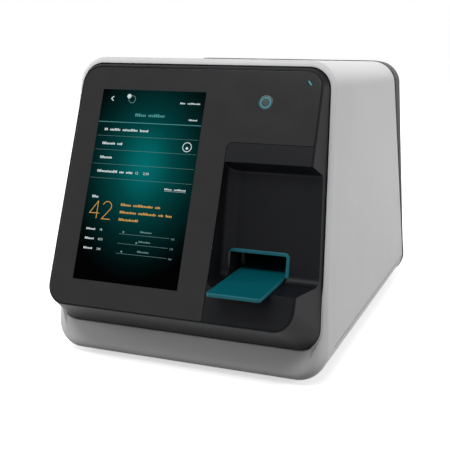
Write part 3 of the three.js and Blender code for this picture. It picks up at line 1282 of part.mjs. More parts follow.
function makeScrews() {
  screwPlaces.forEach(([x, rise], i) => {
    const screw = solid(screwShape(REAR_SCREW_LENGTH).rotateX(-Math.PI / 2));
    place(`rear_screw_${i + 1}`, onBack(screw.translate([x, SEAT_GAP - REAR_SCREW_RECESS, rise])), steel);
  });
  bossPlaces.forEach(([x, y], i) => {
    const screw = screwShape(FLOOR_SCREW_LENGTH + FLOOR_SHEET).translate(x, y, floorTop + SEAT_GAP);
    place(`chassis_screw_${i + 1}`, solid(screw), steel);
  });
}

makeOuterShell();
makeBasePan();
makeFeet();
makeRearCover();
makeFascia();
makeGlass();
makeDisplay();
makeSlotLiner();
makeTray();
makeTrayDrive();
makeMechanismFrame();
makeShutter();
makePress();
makeReader();
makeChassis();
makeBoards();
makePorts();
makePowerEntry();
makeFan();
makeScrews();

// The origin goes to the middle of the whole outline
const bounds = new THREE.Box3().setFromObject(analyzer);
const middleY = (bounds.min.y + bounds.max.y) / 2;
analyzer.children.forEach((mesh) => mesh.geometry.translate(0, -middleY, 0));

export default analyzer;
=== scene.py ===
"""Looks of a bench immunoassay analyzer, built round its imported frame.

Sizes are millimetres. Shapes are worked out in the maker's own axes: X to the right, Y into the
machine from the plane of the housing's front rim at the reference height, Z up from the table.
"""

import json
import math

import bmesh
import bpy
import numpy as np
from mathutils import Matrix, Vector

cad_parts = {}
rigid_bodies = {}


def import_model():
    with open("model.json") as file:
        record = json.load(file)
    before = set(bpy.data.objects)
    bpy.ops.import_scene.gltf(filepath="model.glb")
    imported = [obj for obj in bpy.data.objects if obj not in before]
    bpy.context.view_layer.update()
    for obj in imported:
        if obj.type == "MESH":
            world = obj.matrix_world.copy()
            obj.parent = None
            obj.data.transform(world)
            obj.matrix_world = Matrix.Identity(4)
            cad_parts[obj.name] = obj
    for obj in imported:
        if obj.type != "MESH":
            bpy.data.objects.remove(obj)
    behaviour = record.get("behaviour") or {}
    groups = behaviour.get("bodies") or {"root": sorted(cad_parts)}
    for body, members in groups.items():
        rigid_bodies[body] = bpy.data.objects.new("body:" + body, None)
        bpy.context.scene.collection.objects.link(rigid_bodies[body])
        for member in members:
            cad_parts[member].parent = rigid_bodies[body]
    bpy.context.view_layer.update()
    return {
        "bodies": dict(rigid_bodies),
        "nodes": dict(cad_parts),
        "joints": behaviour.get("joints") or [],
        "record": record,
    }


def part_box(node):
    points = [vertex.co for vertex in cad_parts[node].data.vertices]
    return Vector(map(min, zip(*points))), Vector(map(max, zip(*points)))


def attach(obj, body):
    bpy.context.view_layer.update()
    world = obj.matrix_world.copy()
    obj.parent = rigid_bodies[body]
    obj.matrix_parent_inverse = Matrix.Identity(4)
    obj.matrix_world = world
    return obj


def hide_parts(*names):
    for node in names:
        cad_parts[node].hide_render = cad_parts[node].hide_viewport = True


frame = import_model()
nodes = frame["nodes"]

MM = 0.001
NONE = 0.0
CORNER_STEPS = 10
SIDE_STEPS = 14

# Sizes of the housing
REF_HEIGHT = 57.0
FOOT_HEIGHT = 4.0
HALF_WIDTH = 110.4
SIDE_DRAFT_SHARE = 0.043
TOP_HEIGHT = 233.3
TOP_FALL_SHARE = 0.0445
RIM_LEAN = math.radians(11.95)
BACK_DEPTH = 303.3
COVER_DEPTH = 13.5
SHELL_DEPTH = BACK_DEPTH - COVER_DEPTH
SHELL_REAR_LEAN = math.radians(-14.43)
BACK_LEAN = math.radians(-7.63)
LOW_RADIUS = 22.0
TOP_RADIUS = 20.0
EDGE_RADIUS = 3.3
CHIN_RADIUS = 11.0
CHIN_ROUND_TOP = 75.0
BASE_SEAM_HEIGHT = 24.5
CHIN_DEPTH = 21.0
WALL = 3.0
SEAM_LINE = 0.8
LEAST_RADIUS = 0.02
SEAT_GAP = 0.3
OVERRUN = 3.0

# Sizes of the fascia
RIM_WIDTH = 3.5
TOP_RIM = 4.35
CHIN_HEIGHT = 24.1
SEAM_RADIUS = 16.5
SEAM_GAP = 0.5
SPIGOT = 6.0
FACE_LEAN = math.radians(22.45)
NOSE_REACH = 39.0
FACE_INSET = 13.4
FACE_TOP_DROP = 1.3
UNDERCUT_RISE = 24.3
FACE_RADIUS = 14.5
FACE_EDGE = 1.2
FACE_WALL = 5.0

# Sizes of the glass, display and lights, with heights along the leaning face
DISPLAY_CORNER = 0.4
DISPLAY_SIDE_MARGIN = 19.8
DISPLAY_FOOT_MARGIN = 20.8
DISPLAY_TOP_MARGIN = 19.45
COLUMN_MARGIN = 21.7
GLASS_THICKNESS = 2.0
GLASS_MARGIN = 1.6
GLASS_RADIUS = 13.0
GLASS_INNER_RADIUS = 4.5
GLASS_CORNER = 0.8
GLASS_EDGE = 0.35
LIGHT_LENGTH = 4.6
LIGHT_WIDTH = 1.7
LIGHT_LENS = 0.3
LIGHT_CORNER = 0.7
LIGHT_TURN = math.radians(52)
LIGHT_SIDE_MARGIN = 9.0
LIGHT_TOP_MARGIN = 17.0
READY_RADIUS = 5.5
READY_SIDE_MARGIN = 39.9
READY_TOP_MARGIN = 32.5

# Sizes of the loading recess, its slot and the tray
SHELF_HEIGHT = 76.4
RECESS_WIDTH = 66.6
RECESS_DROP = 65.1
BROW_HEIGHT = 13.4
BROW_DROP = 7.9
RECESS_STANDOFF = 4.8
RECESS_WALL = 3.0
RECESS_FILLET = 10.0
SHELF_FILLET = 5.5
BROW_FILLET = 2.0
TRAY_SIDE_OFFSET = 28.1
TRAY_WIDTH = 39.6
TRAY_LENGTH = 134.0
TRAY_REACH = 52.0
TRAY_THICKNESS = 2.9
TRAY_CORNER = 2.5
SLOT_LEFT_CLEARANCE = 2.8
SLOT_RIGHT_CLEARANCE = 0.6
SLOT_HEIGHT = 18.2
LINER_WALL = 2.1
LINER_DEPTH = 26.0
LINER_PROUD = 0.6
LINER_CORNER = 3.4

# Places that follow from them
MIDDLE_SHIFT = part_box("cartridge_tray")[0].y / MM + TRAY_REACH


def side_x(z):
    """Half width at a height: the stated half width less the draft share of the height above it."""
    return HALF_WIDTH - SIDE_DRAFT_SHARE * (z - REF_HEIGHT)


def leaning(offset, lean):
    """Depth of a leaning plane at a height: offset + tan(lean) * height above the reference."""
    return lambda z: offset + math.tan(lean) * (z - REF_HEIGHT)


rim_y = leaning(NONE, RIM_LEAN)
face_y = leaning(-NOSE_REACH, FACE_LEAN)
recess_y = leaning(-RECESS_STANDOFF, RIM_LEAN)
shell_rear_y = leaning(SHELL_DEPTH, SHELL_REAR_LEAN)
back_y = leaning(BACK_DEPTH, BACK_LEAN)


def top_of(offset, lean):
    """Height at which a leaning plane meets the top, where the top falls by its share of the depth."""
    slope = math.tan(lean)
    rise = TOP_HEIGHT - TOP_FALL_SHARE * offset + TOP_FALL_SHARE * slope * REF_HEIGHT
    return rise / (1 + TOP_FALL_SHARE * slope)


RIM_TOP = top_of(NONE, RIM_LEAN)
SHELL_REAR_TOP = top_of(SHELL_DEPTH, SHELL_REAR_LEAN)
BACK_TOP = top_of(BACK_DEPTH, BACK_LEAN)
SEAM_LOW = FOOT_HEIGHT + CHIN_HEIGHT
SEAM_HIGH = RIM_TOP - TOP_RIM
FACE_LOW = SEAM_LOW + UNDERCUT_RISE
FACE_HIGH = SEAM_HIGH - FACE_TOP_DROP
FACE_HALF_WIDTH = HALF_WIDTH - FACE_INSET


def along(z, lean):
    """Height measured along a plane that leans: the height above the reference over cos(lean)."""
    return (z - REF_HEIGHT) / math.cos(lean)


GLASS_LEFT = GLASS_MARGIN - FACE_HALF_WIDTH
GLASS_RIGHT = FACE_HALF_WIDTH - GLASS_MARGIN
GLASS_LOW = along(FACE_LOW, FACE_LEAN) + GLASS_MARGIN
GLASS_HIGH = along(FACE_HIGH, FACE_LEAN) - GLASS_MARGIN
COLUMN_RIGHT = FACE_HALF_WIDTH - RECESS_WIDTH
DISPLAY_LEFT = DISPLAY_SIDE_MARGIN - FACE_HALF_WIDTH
DISPLAY_RIGHT = COLUMN_RIGHT - COLUMN_MARGIN
DISPLAY_LOW = along(FACE_LOW, FACE_LEAN) + DISPLAY_FOOT_MARGIN
DISPLAY_HIGH = along(FACE_HIGH, FACE_LEAN) - DISPLAY_TOP_MARGIN
RECESS_TOP = FACE_HIGH - RECESS_DROP
RECESS_BACK_TOP = RECESS_TOP - BROW_DROP
BAND_LOW = along(RECESS_TOP + BROW_HEIGHT, FACE_LEAN)
TRAY_X = COLUMN_RIGHT + TRAY_SIDE_OFFSET
TRAY_LEFT = TRAY_X - TRAY_WIDTH / 2
TRAY_RIGHT = TRAY_X + TRAY_WIDTH / 2
TRAY_BOTTOM = SHELF_HEIGHT + SEAT_GAP
SLOT_LEFT = TRAY_LEFT - SLOT_LEFT_CLEARANCE
SLOT_RIGHT = TRAY_RIGHT + SLOT_RIGHT_CLEARANCE
SLOT_TOP = SHELF_HEIGHT + SLOT_HEIGHT

# Camera
CAMERA_PLACE = (0.25598, -0.693455, 0.25958)
CAMERA_TURN = math.radians(21.61)
CAMERA_PITCH = math.radians(13.42)
CAMERA_FIELD = math.radians(29.4)
SENSOR_WIDTH = 36.0


def new_object(name, data):
    """Object for a mesh, lamp or camera, linked to the scene."""
    made = bpy.data.objects.new(name, data)
    bpy.context.scene.collection.objects.link(made)
    return made


def make_camera():
    """Camera at the photograph's viewing angle."""
    data = bpy.data.cameras.new("camera")
    data.sensor_width = SENSOR_WIDTH
    data.lens = data.sensor_width / 2 / math.tan(CAMERA_FIELD / 2)
    camera = new_object("camera", data)
    camera.location = CAMERA_PLACE
    camera.rotation_euler = (math.pi / 2 - CAMERA_PITCH, NONE, CAMERA_TURN)
    bpy.context.scene.camera = camera


# Node helpers for materials
def start_material(name):
    """Node material: the material, its tree and its surface shader."""
    material = bpy.data.materials.new(name)
    material.use_nodes = True
    tree = material.node_tree
    return material, tree, tree.nodes["Principled BSDF"]


def feed(tree, socket, value):
    """Links an output to a socket, or sets the socket's own value."""
    if isinstance(value, bpy.types.NodeSocket):
        tree.links.new(value, socket)
    else:
        socket.default_value = value


def fill(tree, node, **values):
    """Sets values on a node's properties or, by name, feeds them to its sockets."""
    for key, value in values.items():
        if hasattr(node, key):
            setattr(node, key, value)
        else:
            feed(tree, node.inputs[key.replace("_", " ")], value)
    return node


def add(tree, kind, *operands, **values):
    """New node of a kind. The values fill it by name, and the operands feed its sockets in order."""
    node = fill(tree, tree.nodes.new(kind), **values)
    for socket, operand in zip(node.inputs, operands):
        feed(tree, socket, operand)
    return node


def object_place(tree):
    """Place of a point of the piece, in metres in the machine's frame."""
    return add(tree, "ShaderNodeTexCoord").outputs["Object"]


def noise(tree, place, **values):
    """Noise over a place."""
    return add(tree, "ShaderNodeTexNoise", Vector=place, **values).outputs["Fac"]


def spread(tree, source, low, high, **ends):
    """Value from low to high as the source runs from 0 to 1, or between the ends that are given."""
    return add(tree, "ShaderNodeMapRange", Value=source, To_Min=low, To_Max=high, **ends).outputs["Result"]


def bumped(tree, height, strength, distance):
    """Normal of a surface roughened by a height."""
    return add(tree, "ShaderNodeBump", Height=height, Strength=strength, Distance=distance).outputs["Normal"]


def rgba(colour, share=1.0):
    """Colour with its alpha, made lighter or darker by a share."""
    return tuple(min(channel * share, 1.0) for channel in colour) + (1.0,)


NOISE_SHARES = (0.35, 0.65)
FULL_SHARES = (0.0, 1.0)


def ramp_between(tree, source, low, high, shares=NOISE_SHARES):
    """Colour ramp from low to high between two shares of the source's range."""
    ramp = add(tree, "ShaderNodeValToRGB", Fac=source)
    for stop, position, colour in zip(ramp.color_ramp.elements, shares, (low, high)):
        stop.position = position
        stop.color = colour
    return ramp.outputs["Color"]


DRIFT_SCALE = 14.0
MOULD_GLOSS = 0.04
MOULD_DEPTH = 0.0002


def moulded(name, colour, roughness, grain, relief, drift=0.04, specular=0.5):
    """Moulded plastic: a fine spark-eroded grain in the bump, and a slow drift of tone and gloss."""
    material, tree, shader = start_material(name)
    place = object_place(tree)
    slow = noise(tree, place, Scale=DRIFT_SCALE, Detail=3.0)
    fine = noise(tree, place, Scale=grain, Detail=2.0, Roughness=0.6)
    fill(tree, shader,
         Base_Color=ramp_between(tree, slow, rgba(colour, 1 - drift), rgba(colour, 1 + drift)),
         Roughness=spread(tree, fine, roughness - MOULD_GLOSS, roughness + MOULD_GLOSS),
         Normal=bumped(tree, fine, relief, MOULD_DEPTH),
         Specular_IOR_Level=specular)
    return material


METAL_TONE_SHARES = (0.88, 1.08)
METAL_SMOOTHER = 0.08
METAL_ROUGHER = 0.1
METAL_RELIEF = 0.08
METAL_DEPTH = 0.0001


def metal(name, colour, roughness, stretch=(1.0, 1.0, 1.0)):
    """Metal with a drawn or rolled grain: noise that is stretched along the piece's long axis."""
    material, tree, shader = start_material(name)
    turned = add(tree, "ShaderNodeMapping", Vector=object_place(tree), Scale=stretch)
    lines = noise(tree, turned.outputs["Vector"], Scale=900.0, Detail=4.0)
    dark, light = (rgba(colour, share) for share in METAL_TONE_SHARES)
    fill(tree, shader,
         Base_Color=ramp_between(tree, lines, dark, light),
         Roughness=spread(tree, lines, roughness - METAL_SMOOTHER, roughness + METAL_ROUGHER),
         Normal=bumped(tree, lines, METAL_RELIEF, METAL_DEPTH),
         Metallic=1.0)
    return material


SOCKET_RIM = 0.45
SOCKET_SHADE = (0.008, 0.008, 0.009, 1.0)
SOCKET_STEEL = (0.42, 0.43, 0.44, 1.0)
ZINC_DARK = (0.42, 0.44, 0.46, 1.0)
ZINC_LIGHT = (0.55, 0.57, 0.59, 1.0)
LACQUER_DARK = (0.010, 0.085, 0.040, 1.0)
LACQUER_LIGHT = (0.014, 0.105, 0.050, 1.0)
TRACK_GREEN = (0.030, 0.170, 0.085, 1.0)
TINNED_PAD = (0.55, 0.56, 0.54, 1.0)
PAD_RADIUS_SHARE = 0.16


def socket_steel(node):
    """Steel shell whose sockets darken with depth: by depth from the mouth the metal gives way to black,
    painted shade inside the sockets.
    """
    material, tree, shader = start_material("socket_steel_" + node)
    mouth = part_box(node)[1].y
    place = object_place(tree)
    depth = add(tree, "ShaderNodeSeparateXYZ", Vector=place).outputs["Y"]
    rim = spread(tree, depth, 0.0, 1.0, From_Min=mouth - 2 * SOCKET_RIM * MM,
                 From_Max=mouth - SOCKET_RIM * MM)
    grain = noise(tree, place, Scale=1200.0, Detail=3.0)
    fill(tree, shader,
         Base_Color=ramp_between(tree, rim, SOCKET_SHADE, SOCKET_STEEL, FULL_SHARES),
         Roughness=spread(tree, grain, 0.28, 0.42),
         Metallic=rim,
         Specular_IOR_Level=0.1)
    return material


def zinc_plated():
    """Zinc-plated sheet: cells of crystals in slightly different greys."""
    material, tree, shader = start_material("zinc_plated_sheet")
    crystals = add(tree, "ShaderNodeTexVoronoi", Vector=object_place(tree), Scale=160.0)
    grey = add(tree, "ShaderNodeSeparateColor", Color=crystals.outputs["Color"]).outputs
    fill(tree, shader,
         Base_Color=ramp_between(tree, grey["Red"], ZINC_DARK, ZINC_LIGHT, FULL_SHARES),
         Roughness=spread(tree, grey["Green"], 0.32, 0.5),
         Metallic=0.9)
    return material


def circuit_board():
    """Green lacquered board: square tracks from a brick pattern under the lacquer, and tinned pads."""
    material, tree, shader = start_material("circuit_board_lacquer")
    place = object_place(tree)
    tracks = add(tree, "ShaderNodeTexBrick", Vector=place, Scale=70.0, Color1=LACQUER_DARK,
                 Color2=LACQUER_LIGHT, Mortar=TRACK_GREEN, Mortar_Size=0.035)
    pads = add(tree, "ShaderNodeTexVoronoi", Vector=place, Scale=210.0)
    near = add(tree, "ShaderNodeMath", pads.outputs["Distance"], PAD_RADIUS_SHARE, operation="LESS_THAN")
    mix = add(tree, "ShaderNodeMix", data_type="RGBA", Factor=near.outputs["Value"],
              A=tracks.outputs["Color"], B=TINNED_PAD)
    fill(tree, shader, Base_Color=mix.outputs["Result"], Roughness=0.3)
    return material


def cover_glass_black():
    """Black-backed cover glass: deep grey under a clear, smooth surface with faint polish marks."""
    material, tree, shader = start_material("black_cover_glass")
    marks = noise(tree, object_place(tree), Scale=60.0, Detail=3.0)
    fill(tree, shader,
         Base_Color=ramp_between(tree, marks, (0.009, 0.009, 0.0095, 1.0), (0.011, 0.011, 0.0115, 1.0)),
         Roughness=spread(tree, marks, 0.1, 0.16),
         Specular_IOR_Level=0.3)
    return material


# Shapes from arrays
def arc_outline(corners, radii, steps=8, straight=0):
    """Closed outline whose corners are arcs. Each arc's centre lies on its corner's bisector, at
    radius / sin(half the angle) from the corner, and its points are centre + radius * (cos a, sin a)
    for a running evenly from one tangent point to the other. Between arcs lie as many evenly spaced
    points as straight says. Works on whole stacks of outlines."""
    corners = np.asarray(corners, float)
    radii = np.broadcast_to(np.asarray(radii, float), corners.shape[:-1])
    back = np.roll(corners, 1, axis=-2) - corners
    ahead = np.roll(corners, -1, axis=-2) - corners
    back /= np.linalg.norm(back, axis=-1, keepdims=True)
    ahead /= np.linalg.norm(ahead, axis=-1, keepdims=True)
    half = np.arccos(np.clip(np.sum(back * ahead, axis=-1), -1, 1)) / 2
    bisector = back + ahead
    bisector /= np.linalg.norm(bisector, axis=-1, keepdims=True)
    from_corner = bisector * (radii / np.sin(half))[..., None]
    reach = (radii / np.tan(half))[..., None]
    first = back * reach - from_corner
    last = ahead * reach - from_corner
    first_angle = np.arctan2(first[..., 1], first[..., 0])
    last_angle = np.arctan2(last[..., 1], last[..., 0])
    sweep = (last_angle - first_angle + math.pi) % (2 * math.pi) - math.pi
    angle = first_angle[..., None] + sweep[..., None] * np.linspace(0, 1, steps + 1)
    circle = np.stack([np.cos(angle), np.sin(angle)], axis=-1)
    arcs = (corners + from_corner)[..., None, :] + radii[..., None, None] * circle
    starts = np.roll(arcs, -1, axis=-3)[..., :1, :]
    share = np.linspace(0, 1, straight + 2)[1:-1, None]
    sides = arcs[..., -1:, :] + share * (starts - arcs[..., -1:, :])
    points = np.concatenate([arcs, sides], axis=-2)
    return points.reshape(*corners.shape[:-2], -1, 2)


def four_corners(lows, highs, low, high):
    """Corners of an upright shape from the left and right places of its foot and of its top."""
    return np.stack([
        np.stack([lows[0], low], -1), np.stack([lows[1], low], -1),
        np.stack([highs[1], high], -1), np.stack([highs[0], high], -1),
    ], axis=-2)


def box_corners(xs, zs, inset=0.0):
    """Corners of a rectangle from its low and high sides, each side moved in by the inset, which may
    be an array: the answer then has one rectangle for each value."""
    inset = np.asarray(inset, float)
    sides = (xs[0] + inset, xs[1] - inset)
    return four_corners(sides, sides, zs[0] + inset, zs[1] - inset)


def rounded_box(xs, zs, radius, steps=8):
    """Rounded rectangle as a function of its inset: the sides move in and the radius shrinks alike."""
    def outline(inset):
        inset = np.asarray(inset, float)
        radii = np.maximum(radius - inset, LEAST_RADIUS)[..., None]
        return arc_outline(box_corners(xs, zs, inset), radii, steps)
    return outline


def rounded_about(x, rise, width, height, radius, steps):
    """Rounded rectangle about a middle, as a function of its inset."""
    return rounded_box((x - width / 2, x + width / 2), (rise - height / 2, rise + height / 2),
                       radius, steps)


def body_outline(top, inset):
    """Front view of the housing up to a top height: a drafted box whose sides move in by the inset."""
    inset = np.asarray(inset, float)
    low, high = FOOT_HEIGHT + inset, top - inset
    low_half, high_half = side_x(low) - inset, side_x(high) - inset
    corners = four_corners((-low_half, low_half), (-high_half, high_half), low, high)
    radii = np.stack([LOW_RADIUS - inset] * 2 + [TOP_RADIUS - inset] * 2, axis=-1)
    return arc_outline(corners, radii, CORNER_STEPS, SIDE_STEPS)


def seam_outline(inset):
    """Line in the shell's front where the fascia comes out, moved in by the inset."""
    inset = np.asarray(inset, float)
    low, high = SEAM_LOW + inset, SEAM_HIGH - inset
    low_half = side_x(low) - RIM_WIDTH - inset
    high_half = side_x(high) - RIM_WIDTH - inset
    corners = four_corners((-low_half, low_half), (-high_half, high_half), low, high)
    return arc_outline(corners, (SEAM_RADIUS - inset)[..., None], CORNER_STEPS, SIDE_STEPS)


def face_outline(inset):
    """Outline of the fascia's flat face, moved in by the inset."""
    corners = box_corners((-FACE_HALF_WIDTH, FACE_HALF_WIDTH), (FACE_LOW, FACE_HIGH), inset)
    radii = (FACE_RADIUS - np.asarray(inset, float))[..., None]
    return arc_outline(corners, radii, CORNER_STEPS, SIDE_STEPS)


def rings(outlines, depths):
    """Rings in space from outlines in X and Z and the depth of each point."""
    depths = np.broadcast_to(depths, outlines.shape[:-1])
    return np.stack([outlines[..., 0], depths, outlines[..., 1]], axis=-1)


def lean_on(points, depth, lean):
    """Turns points (x, depth, height along a leaning plane) to the maker's axes: the plane starts
    at the given depth at the reference height, and both axes turn by the lean about X."""
    x, y, z = np.moveaxis(np.asarray(points, float), -1, 0)
    return np.stack([
        x,
        depth + y * math.cos(lean) + z * math.sin(lean),
        REF_HEIGHT + z * math.cos(lean) - y * math.sin(lean),
    ], axis=-1)


def on_face(points):
    """Points given on the leaning face, in the maker's axes."""
    return lean_on(points, -NOSE_REACH, FACE_LEAN)


def on_back(points):
    """Points given on the leaning back, in the maker's axes."""
    return lean_on(points, BACK_DEPTH, BACK_LEAN)


def in_frame(points):
    """Points in the maker's millimetres, in the frame's metres."""
    return (points + (0, MIDDLE_SHIFT, 0)) * MM


def mesh_points(mesh):
    """Points of a mesh as an array, in the frame's metres."""
    points = np.empty(len(mesh.vertices) * 3)
    mesh.vertices.foreach_get("co", points)
    return points.reshape(-1, 3)


def applied(piece):
    """Mesh of a piece with its modifiers applied."""
    bpy.context.view_layer.update()
    return bpy.data.meshes.new_from_object(piece.evaluated_get(bpy.context.evaluated_depsgraph_get()))


def new_piece(name, points, faces):
    """Mesh object from points in the maker's axes, welded and with its faces outwards."""
    mesh = bpy.data.meshes.new(name)
    placed = in_frame(np.asarray(points, float).reshape(-1, 3))
    mesh.from_pydata(placed.tolist(), [], faces)
    return weld(new_object(name, mesh))


WELD_REACH = 0.002
LEAST_EDGE = 0.001


def weld(piece):
    """Merges points that coincide and turns every face outwards."""
    work = bmesh.new()
    work.from_mesh(piece.data)
    bmesh.ops.remove_doubles(work, verts=work.verts, dist=WELD_REACH * MM)
    bmesh.ops.dissolve_degenerate(work, edges=work.edges, dist=LEAST_EDGE * MM)
    bmesh.ops.recalc_face_normals(work, faces=work.faces)
    work.to_mesh(piece.data)
    work.free()
    return piece


def ring_faces(rows, count, looped):
    """Quads between neighbouring rings: point (i, j) joins (i + 1, j), (i + 1, j + 1), (i, j + 1)."""
    row = np.arange(rows if looped else rows - 1)[:, None]
    column = np.arange(count)[None, :]
    after = (column + 1) % count
    here, above = row * count, (row + 1) % rows * count
    quads = np.stack([here + column, above + column, above + after, here + after], axis=-1)
    return quads.reshape(-1, 4)


def skin(name, ring_points, looped=False):
    """Closed skin through rings of equally many points. Neighbouring rings are joined by quads. A
    looped skin joins its last ring to its first; any other has each end closed by one flat face."""
    rows, count = ring_points.shape[:2]
    faces = ring_faces(rows, count, looped).tolist()
    if not looped:
        faces.append(list(range(count)))
        faces.append(list(range((rows - 1) * count, rows * count)))
    return new_piece(name, ring_points, faces)


def edge_arc(radius, steps=5):
    """Quarter circle of an edge as insets and depths: inset radius * (1 - sin a), depth
    radius * (1 - cos a), for a from the face (0) to the side (a right angle). No radius gives the
    one point of a sharp edge."""
    if not radius:
        return np.zeros(1), np.zeros(1)
    angle = np.linspace(0, math.pi / 2, steps)
    return radius * (1 - np.sin(angle)), radius * (1 - np.cos(angle))


def plate(name, outline, near, far, near_round=0.0, far_round=0.0, onto=None, steps=5):
    """Plate between two depths, from an outline that is a function of its inset, with rounded near
    and far edges. Near the faces the inset and depth follow a quarter circle."""
    near_inset, near_depth = edge_arc(near_round, steps)
    far_inset, far_depth = edge_arc(far_round, steps)
    insets = np.concatenate([near_inset, far_inset[::-1]])
    depths = np.concatenate([near + near_depth, far - far_depth[::-1]])
    points = rings(outline(insets), depths[:, None])
    return skin(name, points if onto is None else onto(points))


def lathe(name, profile, centre, axis="z", count=48, onto=None):
    """Turned piece: each point (radius, height) of the profile is carried round the z or y axis, at
    centre + radius * (cos a, sin a). Points on the axis close the ends."""
    profile = np.asarray(profile, float)
    angle = np.linspace(0, 2 * math.pi, count, endpoint=False)
    across = profile[:, :1] * np.cos(angle)
    up = profile[:, :1] * np.sin(angle)
    height = np.broadcast_to(profile[:, 1:2], across.shape)
    order = (across, height, up) if axis == "y" else (across, up, height)
    points = np.stack(order, axis=-1) + np.asarray(centre, float)
    return skin(name, points if onto is None else onto(points))


def cuboid(name, xs, ys, zs, onto=None):
    """Plain block for use as a cutter."""
    outline = rounded_box(xs, zs, NONE, 0)
    points = rings(outline(np.zeros(2)), np.array(ys, float)[:, None])
    return skin(name, points if onto is None else onto(points))


def combine(piece, others, operation="DIFFERENCE"):
    """Cuts the other pieces out of a piece, or joins or intersects them, and removes them."""
    for other in others:
        step = piece.modifiers.new("combine", "BOOLEAN")
        step.operation = operation
        step.solver = "MANIFOLD"
        step.object = other
    shape = applied(piece)
    piece.modifiers.clear()
    piece.data = shape
    for other in others:
        bpy.data.objects.remove(other)
    return piece


# Angles in degrees above which an edge is shaded as sharp: of most pieces, of round or softened
# ones, of the fascia and of the display's signs
SHARP_ANGLE = 32.0
SOFT_ANGLE = 40.0
FASCIA_ANGLE = 28.0
SIGN_ANGLE = 20.0


def dress(piece, material, body, stands_for=(), angle=SHARP_ANGLE):
    """Smooth shading that keeps sharp edges, then the material, body, finish slot and CAD nodes."""
    mesh = piece.data
    mesh.materials.clear()
    mesh.materials.append(material)
    mesh.shade_smooth()
    mesh.set_sharp_from_angle(angle=math.radians(angle))
    even = piece.modifiers.new("even_shading", "WEIGHTED_NORMAL")
    even.keep_sharp = True
    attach(piece, body)
    if stands_for:
        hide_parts(*stands_for)


# Housing
REAR_EDGE = 0.8
SEAM_LIP = 0.5
PAN_FLOOR = FOOT_HEIGHT + WALL
FOOT_RADIUS = 9.0
FOOT_POCKET = 1.2
FOOT_SIDE_MARGIN = 22.4
FOOT_FRONT = 36.0
FOOT_REAR_MARGIN = 3.8
FLOOR_SIDE_MARGIN = 13.4
FLOOR_FRONT = 28.0
FLOOR_REAR = SHELL_DEPTH - 5.8
FLOOR_BOSS_INSET = 9.0
BOSS_RADIUS = 5.0
BOSS_TOP = PAN_FLOOR + 7.0
FAR = 400.0
SIDE_ROWS = 9
INNER_ROWS = 3
OUTER_STEPS = 10
INNER_STEPS = 4
REAR_STEPS = 5
BOSS_FLARE = 1.0


def edge_rings(wall, steps):
    """Rings of the housing's rounded front edge, outside (wall 0) or inside. The edge is a quarter
    circle whose radius grows from the fine one above to the chin's full one at the base seam, in
    step with the height; both outlines are worked out and mixed by that share."""
    angle = np.linspace(0, math.pi / 2, steps)
    lift = 1 - np.sin(angle)
    fine_radius = max(EDGE_RADIUS - wall, LEAST_RADIUS)
    full_radius = max(CHIN_RADIUS - wall, LEAST_RADIUS)
    fine = body_outline(RIM_TOP, wall + fine_radius * lift)
    full = body_outline(RIM_TOP, wall + full_radius * lift)
    height = fine[-1:, :, 1]
    share = np.clip((CHIN_ROUND_TOP - height) / (CHIN_ROUND_TOP - BASE_SEAM_HEIGHT), 0, 1)
    share = share * share * (3 - 2 * share)
    outline = fine + (full - fine) * share[..., None]
    radius = fine_radius + (full_radius - fine_radius) * share
    depth = rim_y(outline[..., 1]) + wall + radius * (1 - np.cos(angle))[:, None]
    return rings(outline, depth)


def between_rings(first, last, rows):
    """Rings spaced evenly from one ring to another, both left out: first + share * (last - first)."""
    share = np.linspace(0, 1, rows + 2)[1:-1, None, None]
    return first + share * (last - first)


def housing_wall(name):
    """Wall of the whole housing: one profile, outside edge, side, rear edge, inside and front lip,
    carried round the front view's outline as a closed ring of rings."""
    front = edge_rings(NONE, OUTER_STEPS)
    inset, depth = edge_arc(REAR_EDGE, REAR_STEPS)
    rear_outline = body_outline(SHELL_REAR_TOP, inset[::-1])
    rear = rings(rear_outline, shell_rear_y(rear_outline[..., 1]) - depth[::-1, None])
    inner_outline = body_outline(SHELL_REAR_TOP, np.array([WALL]))
    inner_rear = rings(inner_outline, shell_rear_y(inner_outline[..., 1]))
    inner_front = edge_rings(WALL, INNER_STEPS)[::-1]
    inset, depth = edge_arc(SEAM_LIP, INNER_STEPS)
    lip = seam_outline(-inset[::-1])
    lip_rings = rings(lip, rim_y(lip[..., 1]) + depth[::-1, None])
    flange = seam_outline(np.zeros(1))
    flange_back = rings(flange, rim_y(flange[..., 1]) + WALL)
    return skin(name, np.concatenate([
        front, between_rings(front[-1], rear[0], SIDE_ROWS), rear, inner_rear,
        between_rings(inner_rear[0], inner_front[0], INNER_ROWS), inner_front, flange_back, lip_rings,
    ]), looped=True)


def boss_places():
    """Middles of the four bosses that carry the inner floor."""
    side = HALF_WIDTH - FLOOR_SIDE_MARGIN - FLOOR_BOSS_INSET
    return [(x, y) for x in (-side, side)
            for y in (FLOOR_FRONT + FLOOR_BOSS_INSET, FLOOR_REAR - FLOOR_BOSS_INSET)]


def foot_places():
    """Middles of the four feet by name."""
    side = HALF_WIDTH - FOOT_SIDE_MARGIN
    rear = SHELL_DEPTH - FOOT_REAR_MARGIN
    return {
        "foot_front_left": (-side, FOOT_FRONT), "foot_front_right": (side, FOOT_FRONT),
        "foot_rear_left": (-side, rear), "foot_rear_right": (side, rear),
    }


